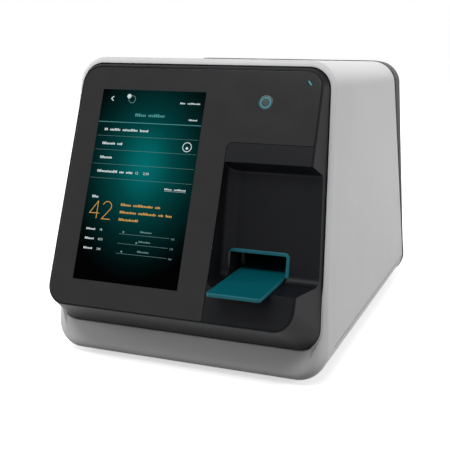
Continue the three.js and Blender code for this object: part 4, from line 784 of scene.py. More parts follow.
def make_housing(pale):
    """Shell and base pan, parted by a fine seam that runs along the sides and behind the chin."""
    shell = housing_wall("housing_shell")
    below = cuboid("cut", (-FAR, FAR), (CHIN_DEPTH, FAR), (-FAR, BASE_SEAM_HEIGHT))
    combine(shell, [below])
    dress(shell, pale, "housing", ["outer_shell"])
    pan = housing_wall("housing_base")
    kept = cuboid("keep", (-FAR, FAR), (CHIN_DEPTH + SEAM_LINE, FAR),
                  (-FAR, BASE_SEAM_HEIGHT - SEAM_LINE))
    combine(pan, [kept], "INTERSECT")
    boss = [(NONE, PAN_FLOOR - BOSS_FLARE), (BOSS_RADIUS + BOSS_FLARE, PAN_FLOOR - BOSS_FLARE),
            (BOSS_RADIUS, PAN_FLOOR + BOSS_FLARE), (BOSS_RADIUS, BOSS_TOP), (NONE, BOSS_TOP)]
    combine(pan, [lathe("boss", boss, (x, y, NONE), count=32) for x, y in boss_places()], "UNION")
    radius, top = FOOT_RADIUS + SEAT_GAP, FOOT_HEIGHT + FOOT_POCKET
    pocket = [(NONE, NONE), (radius, NONE), (radius, top), (NONE, top)]
    combine(pan, [lathe("pocket", pocket, (x, y, NONE)) for x, y in foot_places().values()])
    dress(pan, pale, "housing", ["base_pan"])


GRIP_RINGS = 3
GRIP_START = 2.2
GRIP_PITCH = 2.4
GRIP_SLOPE = 0.2
GRIP_WIDTH = 0.9
GRIP_DEPTH = 0.55
GRIP_SET_BACK = 0.15
FOOT_TOP = 4.9
# The rounded edge's points, each as its inset from the foot's side and its height
FOOT_EDGE = ((0.3, 0.3), (0.05, 0.9), (0.0, 1.6))


def foot_profile():
    """Profile of a foot: grip rings at an even pitch across the sole, of which the outer one rests
    on the table and the others are set back, then the rounded edge, the side and the top."""
    profile = [(NONE, GRIP_DEPTH)]
    for ring in range(GRIP_RINGS):
        start = GRIP_START + ring * GRIP_PITCH
        end = start + GRIP_SLOPE + GRIP_WIDTH
        outer = ring == GRIP_RINGS - 1
        low = NONE if outer else GRIP_SET_BACK
        profile += [(start, GRIP_DEPTH), (start + GRIP_SLOPE, low), (end, low)]
        if not outer:
            profile.append((end + GRIP_SLOPE, GRIP_DEPTH))
    profile += [(FOOT_RADIUS - inset, height) for inset, height in FOOT_EDGE]
    return profile + [(FOOT_RADIUS, FOOT_TOP), (NONE, FOOT_TOP)]


def make_feet(rubber):
    """Turned rubber feet with grip rings in their soles."""
    for name, (x, y) in foot_places().items():
        foot = lathe("rubber_" + name, foot_profile(), (x, y, NONE))
        dress(foot, rubber, "housing", [name], angle=SOFT_ANGLE)


# Rear cover and what sits in it
COVER_PROUD = 0.7
COVER_EDGE_INSETS = np.array([0.4, 0.12, 0.0])
COVER_STEPS = 12
COVER_ROWS = 4
COVER_WALL = 4.9
COVER_INSET = 5.5
BACK_RADIUS = 12.0
BACK_EDGE = along(BACK_TOP, BACK_LEAN)
FAN_SIZE = 60.0
FAN_X = HALF_WIDTH - 64.4
FAN_RISE = BACK_EDGE - 81.3
FAN_RIM = 2.0
SLOT_BAR_PITCH = 6.4
SLOT_OPENING = 3.2
VENT_LEFT = 26.4 - HALF_WIDTH
VENT_RIGHT = FAN_X - FAN_SIZE / 2 - 34.0
VENT_DROP = 107.3
VENT_COUNT = 9
VENT_START_SHARE = 0.25
WINDOW_CORNER = 1.2
PORT_CORNER = 0.8
PORT_REACH = 30.0
INLET_X = 48.4 - HALF_WIDTH
INLET_RISE = -17.0
INLET_WIDTH = 27.0
INLET_HEIGHT = 19.8
INLET_DEPTH = 21.0
INLET_FLANGE = 2.0
INLET_LIP = 2.4
INLET_SOCKET_WIDTH = 22.0
INLET_SOCKET_HEIGHT = 14.0
INLET_SOCKET_DEPTH = 16.0
INLET_KEY = 4.0
FLANGE_ROUND = 0.7
FITTING_CORNER = 1.0
FITTING_ROUND = 0.5
PIN_SPREAD = 7.0
PIN_DROP = 1.8
PIN_RISE = 2.2
PIN_WIDTH = 2.0
PIN_HEIGHT = 4.0
PIN_CORNER = 0.4
PIN_SET_BACK = 2.5
PIN_ROOT = 1.0
PIN_ROUND = 0.5
SWITCH_X = INLET_X + 32.0
SWITCH_WIDTH = 13.0
SWITCH_HEIGHT = 19.4
SWITCH_DEPTH = 15.0
SWITCH_LIP = 1.2
ROCKER_WIDTH = 8.8
ROCKER_HEIGHT = 14.4
ROCKER_GAP = 0.4
ROCKER_SWING = 1.2
ROCKER_WELL = 7.0
SCREW_SIDE = HALF_WIDTH - 26.4
LOWER_SCREW_RISE = along(27.0, BACK_LEAN)
UPPER_SCREW_RISE = BACK_EDGE - 17.8
SCREW_HEAD_RADIUS = 3.0
SCREW_RECESS = 2.2
RECESS_FLARE = 0.9
RECESS_FLARE_LOW = 0.4
RECESS_FLARE_HIGH = 0.2
SHANK_RADIUS = 1.5
SHANK_LENGTH = 20.0
SHANK_TIP_RADIUS = 1.2
SHANK_TIP_LENGTH = 0.5
# The pan head's points, each as its radius and its height above the seat
PAN_HEAD = ((2.9, 0.0), (3.0, 0.2), (2.95, 0.9), (2.5, 1.45), (1.7, 1.7), (0.0, 1.8))
CROSS_LENGTH = 3.0
CROSS_WIDTH = 0.6
CROSS_FLOOR = 0.5
CROSS_CORNER = 0.15
FILTER_LAP = 3.6
FILTER_THICKNESS = 3.0
FILTER_CORNER = 2.5
FILTER_ROUND = 0.6


def through_back(name, outline):
    """Cutter of an outline right through the leaning back."""
    return plate(name, outline, -COVER_WALL - OVERRUN, OVERRUN, onto=on_back)


def back_slot(xs, rise):
    """Cutter for one louvre slot with round ends through the leaning back."""
    zs = (rise - SLOT_OPENING / 2, rise + SLOT_OPENING / 2)
    return through_back("slot", rounded_box(xs, zs, SLOT_OPENING / 2 - LEAST_RADIUS, 6))


def back_window(middle, width, height):
    """Cutter for the window of a fitting of the given size, with the seat clearance round it."""
    return through_back("window", rounded_about(
        middle, INLET_RISE, width + 2 * SEAT_GAP, height + 2 * SEAT_GAP, WINDOW_CORNER, 4))


def port_cutter(node):
    """Cutter for a port's window, from the port's own box with the seat clearance round it."""
    low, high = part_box(node)
    xs = (low.x / MM - SEAT_GAP, high.x / MM + SEAT_GAP)
    zs = (low.z / MM - SEAT_GAP, high.z / MM + SEAT_GAP)
    outline = rounded_box(xs, zs, PORT_CORNER, 4)
    return plate("window", outline, BACK_DEPTH - BACK_RADIUS, BACK_DEPTH + PORT_REACH)


def screw_places():
    """Screw axes on the leaning back."""
    return [(side * SCREW_SIDE, rise) for rise in (LOWER_SCREW_RISE, UPPER_SCREW_RISE)
            for side in (-1, 1)]


def cover_body():
    """Closed body of the rear cover: the outline carried from the shell's rear edge to the back and
    turned in on a quarter circle, hollowed by a smaller copy."""
    first = body_outline(SHELL_REAR_TOP, COVER_EDGE_INSETS - COVER_PROUD)
    first_depth = shell_rear_y(first[..., 1]) + SEAT_GAP + COVER_EDGE_INSETS[::-1, None]
    inset, depth = edge_arc(BACK_RADIUS, COVER_STEPS)
    last = body_outline(BACK_TOP, inset[::-1] - COVER_PROUD)
    last_depth = back_y(last[..., 1]) - depth[::-1, None]
    first, last = rings(first, first_depth), rings(last, last_depth)
    body = skin("rear_shroud", np.concatenate([
        first, between_rings(first[-1], last[0], COVER_ROWS), last]))
    near = body_outline(SHELL_REAR_TOP, np.array([COVER_INSET]))
    middle = body_outline(BACK_TOP, np.array([COVER_INSET, BACK_RADIUS]))
    middle_depth = back_y(middle[..., 1]) - np.array([BACK_RADIUS, COVER_WALL])[:, None]
    hollow = skin("hollow", np.concatenate([
        rings(near, shell_rear_y(near[..., 1]) - OVERRUN), rings(middle, middle_depth)]))
    return combine(body, [hollow])


def make_rear_cover(dark):
    """Dark cover with louvres, a round grille of slots, windows and screw recesses in its back."""
    reach = FAN_SIZE / 2 - FAN_RIM
    rises = np.arange(SLOT_BAR_PITCH / 2, reach - SLOT_OPENING, SLOT_BAR_PITCH)
    halves = np.sqrt(reach ** 2 - (rises + SLOT_OPENING / 2) ** 2)
    cutters = [
        back_slot((FAN_X - half, FAN_X + half), FAN_RISE + side * rise)
        for rise, half in zip(rises, halves) for side in (-1, 1)
    ]
    cutters += [
        back_slot((VENT_LEFT, VENT_RIGHT),
                  BACK_EDGE - VENT_DROP + (row + VENT_START_SHARE) * SLOT_BAR_PITCH)
        for row in range(VENT_COUNT)
    ]
    cutters += [
        back_window(INLET_X, INLET_WIDTH, INLET_HEIGHT),
        back_window(SWITCH_X, SWITCH_WIDTH, SWITCH_HEIGHT),
        port_cutter("usb_ports"), port_cutter("network_port"),
    ]
    radius = SCREW_HEAD_RADIUS + SEAT_GAP
    flare = SCREW_HEAD_RADIUS + RECESS_FLARE
    recess = [(NONE, -SCREW_RECESS), (radius, -SCREW_RECESS), (radius, -RECESS_FLARE_LOW),
              (flare, RECESS_FLARE_HIGH), (flare, OVERRUN), (NONE, OVERRUN)]
    cutters += [lathe("recess", recess, (x, NONE, rise), axis="y", onto=on_back)
                for x, rise in screw_places()]
    cover = combine(cover_body(), cutters)
    dress(cover, dark, "housing", ["rear_cover"])


USB_SOCKET_WIDTH = 12.2
USB_SOCKET_HEIGHT = 5.2
TONGUE_GAP = 0.8
TONGUE_THICKNESS = 1.9
TONGUE_LENGTH = 9.0
TONGUE_SET_BACK = 1.6
CONTACT_COUNT = 8
CONTACT_PITCH = 1.02
CONTACT_WIDTH = 0.5
CONTACT_THICKNESS = 0.4
CONTACT_DROP = 2.4
CONTACT_CORNER = 0.15
CONTACT_ROUND = 0.1
TONGUE_ROUND = 0.3


def port_tongue(name, outline, mouth, edge):
    """Tongue or contact that lies a little behind a port's mouth."""
    end = mouth - TONGUE_SET_BACK
    return plate(name, outline, end - TONGUE_LENGTH, end, edge, edge)


def make_port_insides(white, brass):
    """Tongues in the two stacked sockets, and the other port's row of spring contacts."""
    low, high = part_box("usb_ports")
    middle, bottom, mouth = (low.x + high.x) / 2 / MM, low.z / MM, high.y / MM
    gap = ((high.z - low.z) / MM - 2 * USB_SOCKET_HEIGHT) / 3
    half = USB_SOCKET_WIDTH / 2 - TONGUE_GAP
    tops = [bottom + (row + 1) * (gap + USB_SOCKET_HEIGHT) - TONGUE_GAP for row in range(2)]
    tongues = [
        port_tongue("tongue", rounded_box((middle - half, middle + half), (top - TONGUE_THICKNESS, top),
                                          TONGUE_ROUND, 3), mouth, TONGUE_ROUND)
        for top in tops
    ]
    dress(joined("socket_tongues", tongues), white, "housing")
    low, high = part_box("network_port")
    middle, rise, mouth = (low.x + high.x) / 2 / MM, (low.z + high.z) / 2 / MM, high.y / MM
    places = middle + (np.arange(CONTACT_COUNT) - (CONTACT_COUNT - 1) / 2) * CONTACT_PITCH
    contacts = [
        port_tongue("contact", rounded_about(x, rise - CONTACT_DROP, CONTACT_WIDTH, CONTACT_THICKNESS,
                                             CONTACT_CORNER, 2), mouth, CONTACT_ROUND)
        for x in places
    ]
    dress(joined("network_contacts", contacts), brass, "housing")


def make_vent_filter(foam):
    """Foam filter that lies behind the louvres, a little away from the back's inner face."""
    low = BACK_EDGE - VENT_DROP - FILTER_LAP
    high = low + VENT_COUNT * SLOT_BAR_PITCH + 2 * FILTER_LAP
    outline = rounded_box((VENT_LEFT - FILTER_LAP, VENT_RIGHT + FILTER_LAP), (low, high), FILTER_CORNER, 5)
    near = -COVER_WALL - FILTER_THICKNESS - SEAT_GAP
    sheet = plate("vent_filter", outline, near, near + FILTER_THICKNESS, FILTER_ROUND, FILTER_ROUND,
                  onto=on_back)
    dress(sheet, foam, "housing")


def make_rear_screws(steel):
    """Pan-head screws with a cross recess, in the cover's four recesses."""
    seat = -SCREW_RECESS
    profile = [(NONE, seat - SHANK_LENGTH), (SHANK_TIP_RADIUS, seat - SHANK_LENGTH),
               (SHANK_RADIUS, seat - SHANK_LENGTH + SHANK_TIP_LENGTH), (SHANK_RADIUS, seat)]
    profile += [(radius, seat + height) for radius, height in PAN_HEAD]
    for order, (x, rise) in enumerate(screw_places(), start=1):
        name = f"rear_screw_{order}"
        screw = lathe("cross_" + name, profile, (x, NONE, rise), axis="y", count=32, onto=on_back)
        arms = [
            plate("arm", rounded_about(x, rise, width, height, CROSS_CORNER, 2),
                  seat + CROSS_FLOOR, seat + OVERRUN, onto=on_back)
            for width, height in ((CROSS_LENGTH, CROSS_WIDTH), (CROSS_WIDTH, CROSS_LENGTH))
        ]
        dress(combine(screw, arms), steel, "housing", [name])


def back_fitting(name, middle, width, height, depth, lip):
    """Rounded flange that lies on the back, joined to the body behind it."""
    around = rounded_about(middle, INLET_RISE, width + 2 * lip, height + 2 * lip, lip, 5)
    flange = plate(name, around, SEAT_GAP, SEAT_GAP + INLET_FLANGE, NONE, FLANGE_ROUND, onto=on_back)
    body = plate("body", rounded_about(middle, INLET_RISE, width, height, FITTING_CORNER, 3),
                 -depth, SEAT_GAP + INLET_FLANGE / 2, FITTING_ROUND, onto=on_back)
    return combine(flange, [body], "UNION")


def make_power_entry(black, brass):
    """Mains inlet with a keyed socket and three pins, and the switch's body with its well."""
    face = SEAT_GAP + INLET_FLANGE
    inlet = back_fitting("mains_inlet", INLET_X, INLET_WIDTH, INLET_HEIGHT, INLET_DEPTH, INLET_LIP)
    half, tall, key = INLET_SOCKET_WIDTH / 2, INLET_SOCKET_HEIGHT / 2, INLET_KEY
    corners = np.array([
        (-half, -tall), (half, -tall), (half, tall - key), (half - key, tall),
        (key - half, tall), (-half, tall - key),
    ]) + (INLET_X, INLET_RISE)
    keyed = arc_outline(corners, FITTING_CORNER, 4)
    socket = plate("socket", lambda inset: np.broadcast_to(keyed, (len(inset),) + keyed.shape),
                   face - INLET_SOCKET_DEPTH, face + OVERRUN, onto=on_back)
    dress(combine(inlet, [socket]), black, "housing", ["power_inlet"])
    pins = {"inlet_pin_left": (-PIN_SPREAD, -PIN_DROP), "inlet_pin_middle": (NONE, PIN_RISE),
            "inlet_pin_right": (PIN_SPREAD, -PIN_DROP)}
    for name, (across, up) in pins.items():
        outline = rounded_about(INLET_X + across, INLET_RISE + up, PIN_WIDTH, PIN_HEIGHT, PIN_CORNER, 3)
        pin = plate(name, outline, face - INLET_SOCKET_DEPTH - PIN_ROOT, face - PIN_SET_BACK,
                    NONE, PIN_ROUND, onto=on_back)
        dress(pin, brass, "housing")
    switch = back_fitting("switch_bezel", SWITCH_X, SWITCH_WIDTH, SWITCH_HEIGHT, SWITCH_DEPTH, SWITCH_LIP)
    outline = rounded_about(SWITCH_X, INLET_RISE, ROCKER_WIDTH + 2 * ROCKER_GAP,
                            ROCKER_HEIGHT + 2 * ROCKER_SWING, FITTING_ROUND, 3)
    well = plate("well", outline, -ROCKER_WELL, face + OVERRUN, onto=on_back)
    dress(combine(switch, [well]), black, "housing", ["switch_body"])


# Fascia
GROOVE_INSET = 1.3
GROOVE_WIDTH = 0.35
GROOVE_DEPTH = 0.7
MOUTH_ROUND = 3.2
MOUTH_STEPS = 4
ON_PLANE = 0.06
RECESS_CORNER = 0.5
RECESS_ROWS = 4
RECESS_STEPS = 7
FASCIA_ROWS = 8
SLEEVE_START = 0.4
PATH_LAP = 1.0


def recess_cutter():
    """Space of the recess: a tub whose plan has one large fillet, stacked from the shelf to the
    brow. At the shelf and at the brow its sides move in on a quarter circle. The plan shifts back
    with height as the recess's back wall leans, and the brow is a plane that rises to the front."""
    angle = np.linspace(0, math.pi / 2, RECESS_STEPS)
    lift = 1 - np.sin(angle)
    insets = np.concatenate([SHELF_FILLET * lift, np.zeros(RECESS_ROWS), BROW_FILLET * lift[::-1]])
    sharp = np.full_like(insets, RECESS_CORNER)
    plan = arc_outline(
        box_corners((COLUMN_RIGHT, 2 * HALF_WIDTH), (-2 * NOSE_REACH, NONE), insets),
        np.stack([sharp, sharp, sharp, RECESS_FILLET - insets], axis=-1), 10, 6)
    x, p = plan[..., 0], plan[..., 1]
    slope = math.tan(RIM_LEAN)
    back_at_brow = recess_y(RECESS_BACK_TOP)
    brow = (RECESS_TOP - RECESS_BACK_TOP) / (back_at_brow - face_y(RECESS_TOP))
    ceiling = (RECESS_BACK_TOP - brow * (p + recess_y(NONE) - back_at_brow)) / (1 + brow * slope)
    drop = SHELF_FILLET * (1 - np.cos(angle))
    fall = BROW_FILLET * (1 - np.cos(angle[::-1]))
    floor_z = SHELF_HEIGHT + np.broadcast_to(drop[:, None], (len(angle), x.shape[1]))
    ceiling_z = ceiling[-len(angle):] - fall[:, None]
    share = np.linspace(0, 1, RECESS_ROWS + 2)[1:-1, None]
    middle_z = floor_z[-1] + share * (ceiling_z[0] - floor_z[-1])
    z = np.concatenate([floor_z, middle_z, ceiling_z])
    return skin("recess", np.stack([x, p + recess_y(z), z], axis=-1))


def soften(piece, chosen, width):
    """Rounds the edges whose two ends are both chosen, given the points in the maker's axes."""
    mesh = piece.data
    mask = chosen(mesh_points(mesh) / MM - (0, MIDDLE_SHIFT, 0))
    ends = np.empty(len(mesh.edges) * 2, int)
    mesh.edges.foreach_get("vertices", ends)
    ends = ends.reshape(-1, 2)
    weight = (mask[ends[:, 0]] & mask[ends[:, 1]]).astype(np.float32)
    layer = mesh.attributes.new("bevel_weight_edge", "FLOAT", "EDGE")
    layer.data.foreach_set("value", weight)
    bevel = piece.modifiers.new("soften", "BEVEL")
    bevel.limit_method = "WEIGHT"
    bevel.width = width * MM
    bevel.segments = MOUTH_STEPS
    shape = applied(piece)
    piece.modifiers.clear()
    piece.data = shape


def glass_outline(inset):
    """Outline of the glass on the face: a full-height column and a band across the top."""
    inset = np.asarray(inset, float)
    left, low = GLASS_LEFT + inset, GLASS_LOW + inset
    right, top = GLASS_RIGHT - inset, GLASS_HIGH - inset
    column, band = COLUMN_RIGHT - inset, BAND_LOW + inset
    corners = np.stack([
        np.stack(pair, -1) for pair in
        ((left, low), (column, low), (column, band), (right, band), (right, top), (left, top))
    ], axis=-2)
    tight, wide = np.maximum(GLASS_CORNER - inset, LEAST_RADIUS), GLASS_RADIUS - inset
    radii = np.stack([wide, tight, GLASS_INNER_RADIUS + inset, tight, wide, wide], axis=-1)
    return arc_outline(corners, radii, 10)


def display_outline(grow):
    """Outline of the lit display, grown evenly."""
    return rounded_box((DISPLAY_LEFT - grow, DISPLAY_RIGHT + grow),
                       (DISPLAY_LOW - grow, DISPLAY_HIGH + grow), DISPLAY_CORNER + grow, 3)


def status_outline(grow):
    """Outline of the small slanted light: a rounded bar turned about its middle."""
    middle = np.array([GLASS_RIGHT - LIGHT_SIDE_MARGIN, GLASS_HIGH - LIGHT_TOP_MARGIN / 2])
    length, width = LIGHT_LENGTH / 2 + grow, LIGHT_WIDTH / 2 + grow
    bar = rounded_box((-length, length), (-width, width), LIGHT_CORNER + grow, 4)
    turn = np.array([[math.cos(LIGHT_TURN), -math.sin(LIGHT_TURN)],
                     [math.sin(LIGHT_TURN), math.cos(LIGHT_TURN)]])
    return lambda inset: bar(inset) @ turn + middle


READY_X = GLASS_RIGHT - READY_SIDE_MARGIN
READY_RISE = GLASS_HIGH - READY_TOP_MARGIN + LIGHT_TOP_MARGIN / 2
READY_EDGE = 0.25
READY_BEVEL_SHARE = 0.3


def ready_disc(name, radius, near, far):
    """Round disc of the ready light on the face, with softened edges."""
    bevel = READY_EDGE * READY_BEVEL_SHARE
    profile = [(NONE, far), (radius, far), (radius, near + READY_EDGE), (radius - bevel, near + bevel),
               (radius - READY_EDGE, near), (NONE, near)]
    return lathe(name, profile, (READY_X, NONE, READY_RISE), axis="y", count=64, onto=on_face)


def fascia_body():
    """Body of the fascia: outlines carried from the flat face to the seam, hollowed except for the
    walls round the recess, with the recess cut from its right side."""
    edge_inset, edge_depth = edge_arc(FACE_EDGE, 7)
    face = face_outline(edge_inset)
    face = rings(face, face_y(face[..., 1]) + edge_depth[:, None])
    seam = seam_outline(np.full(3, SEAM_GAP))
    seam = rings(seam, rim_y(seam[..., 1]) + SPIGOT * np.linspace(0, 1, len(seam))[:, None])
    body = skin("front_bezel", np.concatenate([
        face, between_rings(face[-1], seam[0], FASCIA_ROWS), seam]))
    inner_face = face_outline(np.array([WALL]))
    inner_face = rings(inner_face, face_y(inner_face[..., 1]) + FACE_WALL / math.cos(FACE_LEAN))
    inner_seam = seam_outline(np.array([SEAM_GAP + WALL]))
    inner_seam = rings(inner_seam, rim_y(inner_seam[..., 1]) + SPIGOT + OVERRUN)
    hollow = skin("hollow", np.concatenate([inner_face, inner_seam]))
    combine(hollow, [recess_walls()])
    return combine(body, [hollow, recess_cutter()])


def recess_mouth(points):
    """Says of each point whether it lies where the recess's shelf or brow meets the flat face."""
    x, y, z = points.T
    on_face_plane = np.abs(y - face_y(z)) < ON_PLANE
    at_shelf = np.abs(z - SHELF_HEIGHT) < ON_PLANE
    at_brow = np.abs(z - RECESS_TOP) < ON_PLANE
    inside = (x > COLUMN_RIGHT - ON_PLANE) & (x < FACE_HALF_WIDTH)
    return on_face_plane & (at_shelf | at_brow) & inside


def face_openings(display_grow, light_grow, far):
    """Cutters through the face to a depth, for the display, the status light and the ready light."""
    return [
        plate("opening", display_outline(display_grow), -OVERRUN, far, onto=on_face),
        plate("slit", status_outline(light_grow), -OVERRUN, far, onto=on_face),
        ready_disc("disc", READY_RADIUS + light_grow, -OVERRUN, far),
    ]


def make_fascia(dark):
    """Dark fascia with softened edges at the recess's mouth, a fine groove round the face, pockets
    for glass, display and lights, and the slot through the recess's back wall."""
    fascia = fascia_body()
    soften(fascia, recess_mouth, MOUTH_ROUND)
    groove = face_outline(np.array([0, 0, 1, 1]) * GROOVE_WIDTH + GROOVE_INSET)
    groove_depths = np.array([-OVERRUN, GROOVE_DEPTH, GROOVE_DEPTH, -OVERRUN])
    groove = skin("groove", rings(groove, face_y(groove[..., 1]) + groove_depths[:, None]), looped=True)
    pocket = plate("pocket", lambda inset: glass_outline(inset - SEAT_GAP), -OVERRUN,
                   GLASS_THICKNESS + SEAT_GAP, onto=on_face)
    grow = LINER_WALL + SEAT_GAP
    back = recess_y(SHELF_HEIGHT)
    sleeve = plate("sleeve", rounded_box((SLOT_LEFT - grow, SLOT_RIGHT + grow),
                                         (SHELF_HEIGHT - grow, SLOT_TOP + grow), LINER_CORNER, 6),
                   back + SLEEVE_START, LINER_DEPTH)
    path = cuboid("path", (SLOT_LEFT, SLOT_RIGHT + LINER_WALL),
                  (back - SHELF_FILLET - PATH_LAP, LINER_DEPTH),
                  (SHELF_HEIGHT, SHELF_HEIGHT + SHELF_FILLET + PATH_LAP))
    openings = face_openings(SEAT_GAP, SEAT_GAP, FACE_WALL + OVERRUN)
    combine(fascia, [groove, pocket, *openings, sleeve, path])
    dress(fascia, dark, "housing", ["front_fascia"], angle=FASCIA_ANGLE)


def recess_walls():
    """Solid round the recess that stays when the fascia is hollowed: the recess grown by its wall."""
    low, high = SHELF_HEIGHT - RECESS_WALL, RECESS_TOP + RECESS_WALL
    section = np.array([
        (recess_y(low) + RECESS_WALL, low), (recess_y(high) + RECESS_WALL, high),
        (-2 * NOSE_REACH, high), (-2 * NOSE_REACH, low),
    ])
    sides = np.array([COLUMN_RIGHT - RECESS_WALL, 2 * HALF_WIDTH])[:, None]
    x, y, z = np.broadcast_arrays(sides, section[:, 0], section[:, 1])
    return skin("walls", np.stack([x, y, z], axis=-1))


# Glass, display and lights
DISPLAY_GAP = 0.05
LIGHT_GAP = 0.1
GLASS_FAR_EDGE = 0.1


def make_glass(black_glass):
    """Cover glass with softened edges, open over the display and the two lights."""
    glass = plate("cover_glass", glass_outline, NONE, GLASS_THICKNESS, GLASS_EDGE, GLASS_FAR_EDGE,
                  onto=on_face)
    combine(glass, face_openings(DISPLAY_GAP, LIGHT_GAP, GLASS_THICKNESS + OVERRUN))
    dress(glass, black_glass, "housing", ["front_glass"])


GLOW_MIDDLE_SHARES = (0.52, 0.61)
GLOW_REACH = 92.0
GLOW_NARROW_SHARE = 1.38
GLOW_SHARES = (
    (0.0, 0.141), (0.14, 0.110), (0.34, 0.051), (0.5, 0.029), (0.64, 0.0145), (0.84, 0.003),
    (0.96, 0.0),
)


def display_place(across_share, up_share):
    """Place on the face of a point given by its shares of the display's width and height."""
    return (DISPLAY_LEFT + across_share * (DISPLAY_RIGHT - DISPLAY_LEFT),
            DISPLAY_LOW + up_share * (DISPLAY_HIGH - DISPLAY_LOW))


def lit_picture():
    """Lit display: teal light that falls off with the distance from a point above the middle, dark
    towards the foot, behind the gloss of the panel."""
    material, tree, shader = start_material("lit_display")
    x, rise = display_place(*GLOW_MIDDLE_SHARES)
    middle = in_frame(on_face([(x, NONE, rise)]))[0]
    offset = add(tree, "ShaderNodeVectorMath", object_place(tree), tuple(middle), operation="SUBTRACT")
    narrowed = add(tree, "ShaderNodeVectorMath", offset.outputs["Vector"], (GLOW_NARROW_SHARE, 1.0, 1.0),
                   operation="MULTIPLY")
    distance = add(tree, "ShaderNodeVectorMath", narrowed.outputs["Vector"], operation="LENGTH")
    reach = spread(tree, distance.outputs["Value"], 0.0, 1.0, From_Max=GLOW_REACH * MM)
    ramp = add(tree, "ShaderNodeValToRGB", Fac=reach)
    stops = ramp.color_ramp.elements
    stops.remove(stops[-1])
    for order, (position, light) in enumerate(GLOW_SHARES):
        stop = stops.new(position) if order else stops[0]
        stop.color = (NONE, light, light, 1.0)
    fill(tree, shader, Emission_Color=ramp.outputs["Color"], Emission_Strength=1.0,
         Base_Color=(0.0004, 0.0004, 0.0004, 1.0), Roughness=0.2, Specular_IOR_Level=0.005)
    return material


def lit_mark(name, colour):
    """Light of a symbol on the display, a shade dimmer where fine noise is low."""
    material, tree, shader = start_material(name)
    cells = noise(tree, object_place(tree), Scale=500.0)
    fill(tree, shader, Emission_Color=ramp_between(tree, cells, rgba(colour, DIM_SHARE), rgba(colour)),
         Emission_Strength=1.0, Base_Color=(0.01, 0.01, 0.01, 1.0), Roughness=0.2)
    return material


DIM_SHARE = 0.85
MARK_NEAR = -0.03
MARK_FAR = 0.04
BAR_FLAT = 0.01


def flat_marks(name, outlines):
    """Thin solids on the display, one for each flat outline of a stack: its points at two depths,
    joined by quads, and closed at both depths by the outline itself."""
    amount, count = outlines.shape[:2]
    pairs = np.stack([rings(outlines, MARK_NEAR), rings(outlines, MARK_FAR)], axis=1)
    first = 2 * count * np.arange(amount)
    sides = ring_faces(2, count, False) + first[:, None, None]
    caps = np.arange(2 * count).reshape(2, count) + first[:, None, None]
    faces = sides.reshape(-1, 4).tolist() + caps.reshape(-1, count).tolist()
    return new_piece(name, on_face(pairs), faces)


def mark_bar(across_shares, up_share, height):
    """Bar on the display between two shares of its width, at a share of its height."""
    left, rise = display_place(across_shares[0], up_share)
    right = display_place(across_shares[1], up_share)[0]
    radius = height / 2 - BAR_FLAT
    return flat_marks("bar", arc_outline(
        box_corners((left, right), (rise - height / 2, rise + height / 2))[None], radius, 3))


def mark_stroke(place, path, line):
    """Stroke of even width on the display: each point of the path goes half the width to either side
    along the normal that halves the angle between its two segments."""
    path = np.asarray(path, float)
    along_path = np.diff(path, axis=0)
    along_path /= np.linalg.norm(along_path, axis=1, keepdims=True)
    normals = np.stack([-along_path[:, 1], along_path[:, 0]], axis=1)
    before = np.concatenate([normals[:1], normals])
    after = np.concatenate([normals, normals[-1:]])
    middle = before + after
    middle /= np.sum(middle * after, axis=1, keepdims=True)
    outline = np.concatenate([path + middle * line / 2, (path - middle * line / 2)[::-1]])
    return flat_marks("stroke", (outline + display_place(*place))[None])


def face_ring(name, place, radii, depths, count):
    """Ring on the leaning face: a rectangle between two radii and two depths, carried round."""
    angle = np.linspace(0, 2 * math.pi, count, endpoint=False)
    circle = np.stack([np.cos(angle), np.sin(angle)], axis=-1)
    (outer, inner), (near, far) = radii, depths
    circles = circle * np.array([outer, outer, inner, inner])[:, None, None] + place
    points = rings(circles, np.array([near, far, far, near])[:, None])
    return skin(name, on_face(points), looped=True)


def mark_ring(across_share, up_share, radius, line):
    """Ring on the display."""
    return face_ring("ring", display_place(across_share, up_share), (radius, radius - line),
                     (MARK_NEAR, MARK_FAR), 40)


def mark_disc(across_share, up_share, radius):
    """Dot on the display."""
    x, rise = display_place(across_share, up_share)
    profile = [(NONE, MARK_NEAR), (radius, MARK_NEAR), (radius, MARK_FAR), (NONE, MARK_FAR)]
    return lathe("dot", profile, (x, NONE, rise), axis="y", count=24, onto=on_face)


def mark_chevron(across_share, up_share, size, line):
    """Arrow head that points left: one bent stroke."""
    wing = size / 2
    path = [(wing / 2, wing), (-wing / 2, NONE), (wing / 2, -wing)]
    return mark_stroke((across_share, up_share), path, line)


def joined(name, parts):
    """Several small pieces as one mesh object."""
    counts, vertices, faces = 0, [], []
    for part in parts:
        vertices.append(mesh_points(part.data))
        faces += [[index + counts for index in polygon.vertices] for polygon in part.data.polygons]
        counts += len(vertices[-1])
        bpy.data.objects.remove(part)
    mesh = bpy.data.meshes.new(name)
    mesh.from_pydata(np.concatenate(vertices).tolist(), [], faces)
    return new_object(name, mesh)


WORD_GAP_SHARE = 0.02
LETTER_PITCH_SHARE = 0.62
LETTER_WIDTH_SHARE = 0.7
LETTER_ROUND_SHARE = 0.12
LETTER_HEIGHT_SHARES = np.array([1.0, 0.7, 0.7, 0.95, 0.7, 0.74, 1.0, 0.7, 0.7, 0.7, 0.9])


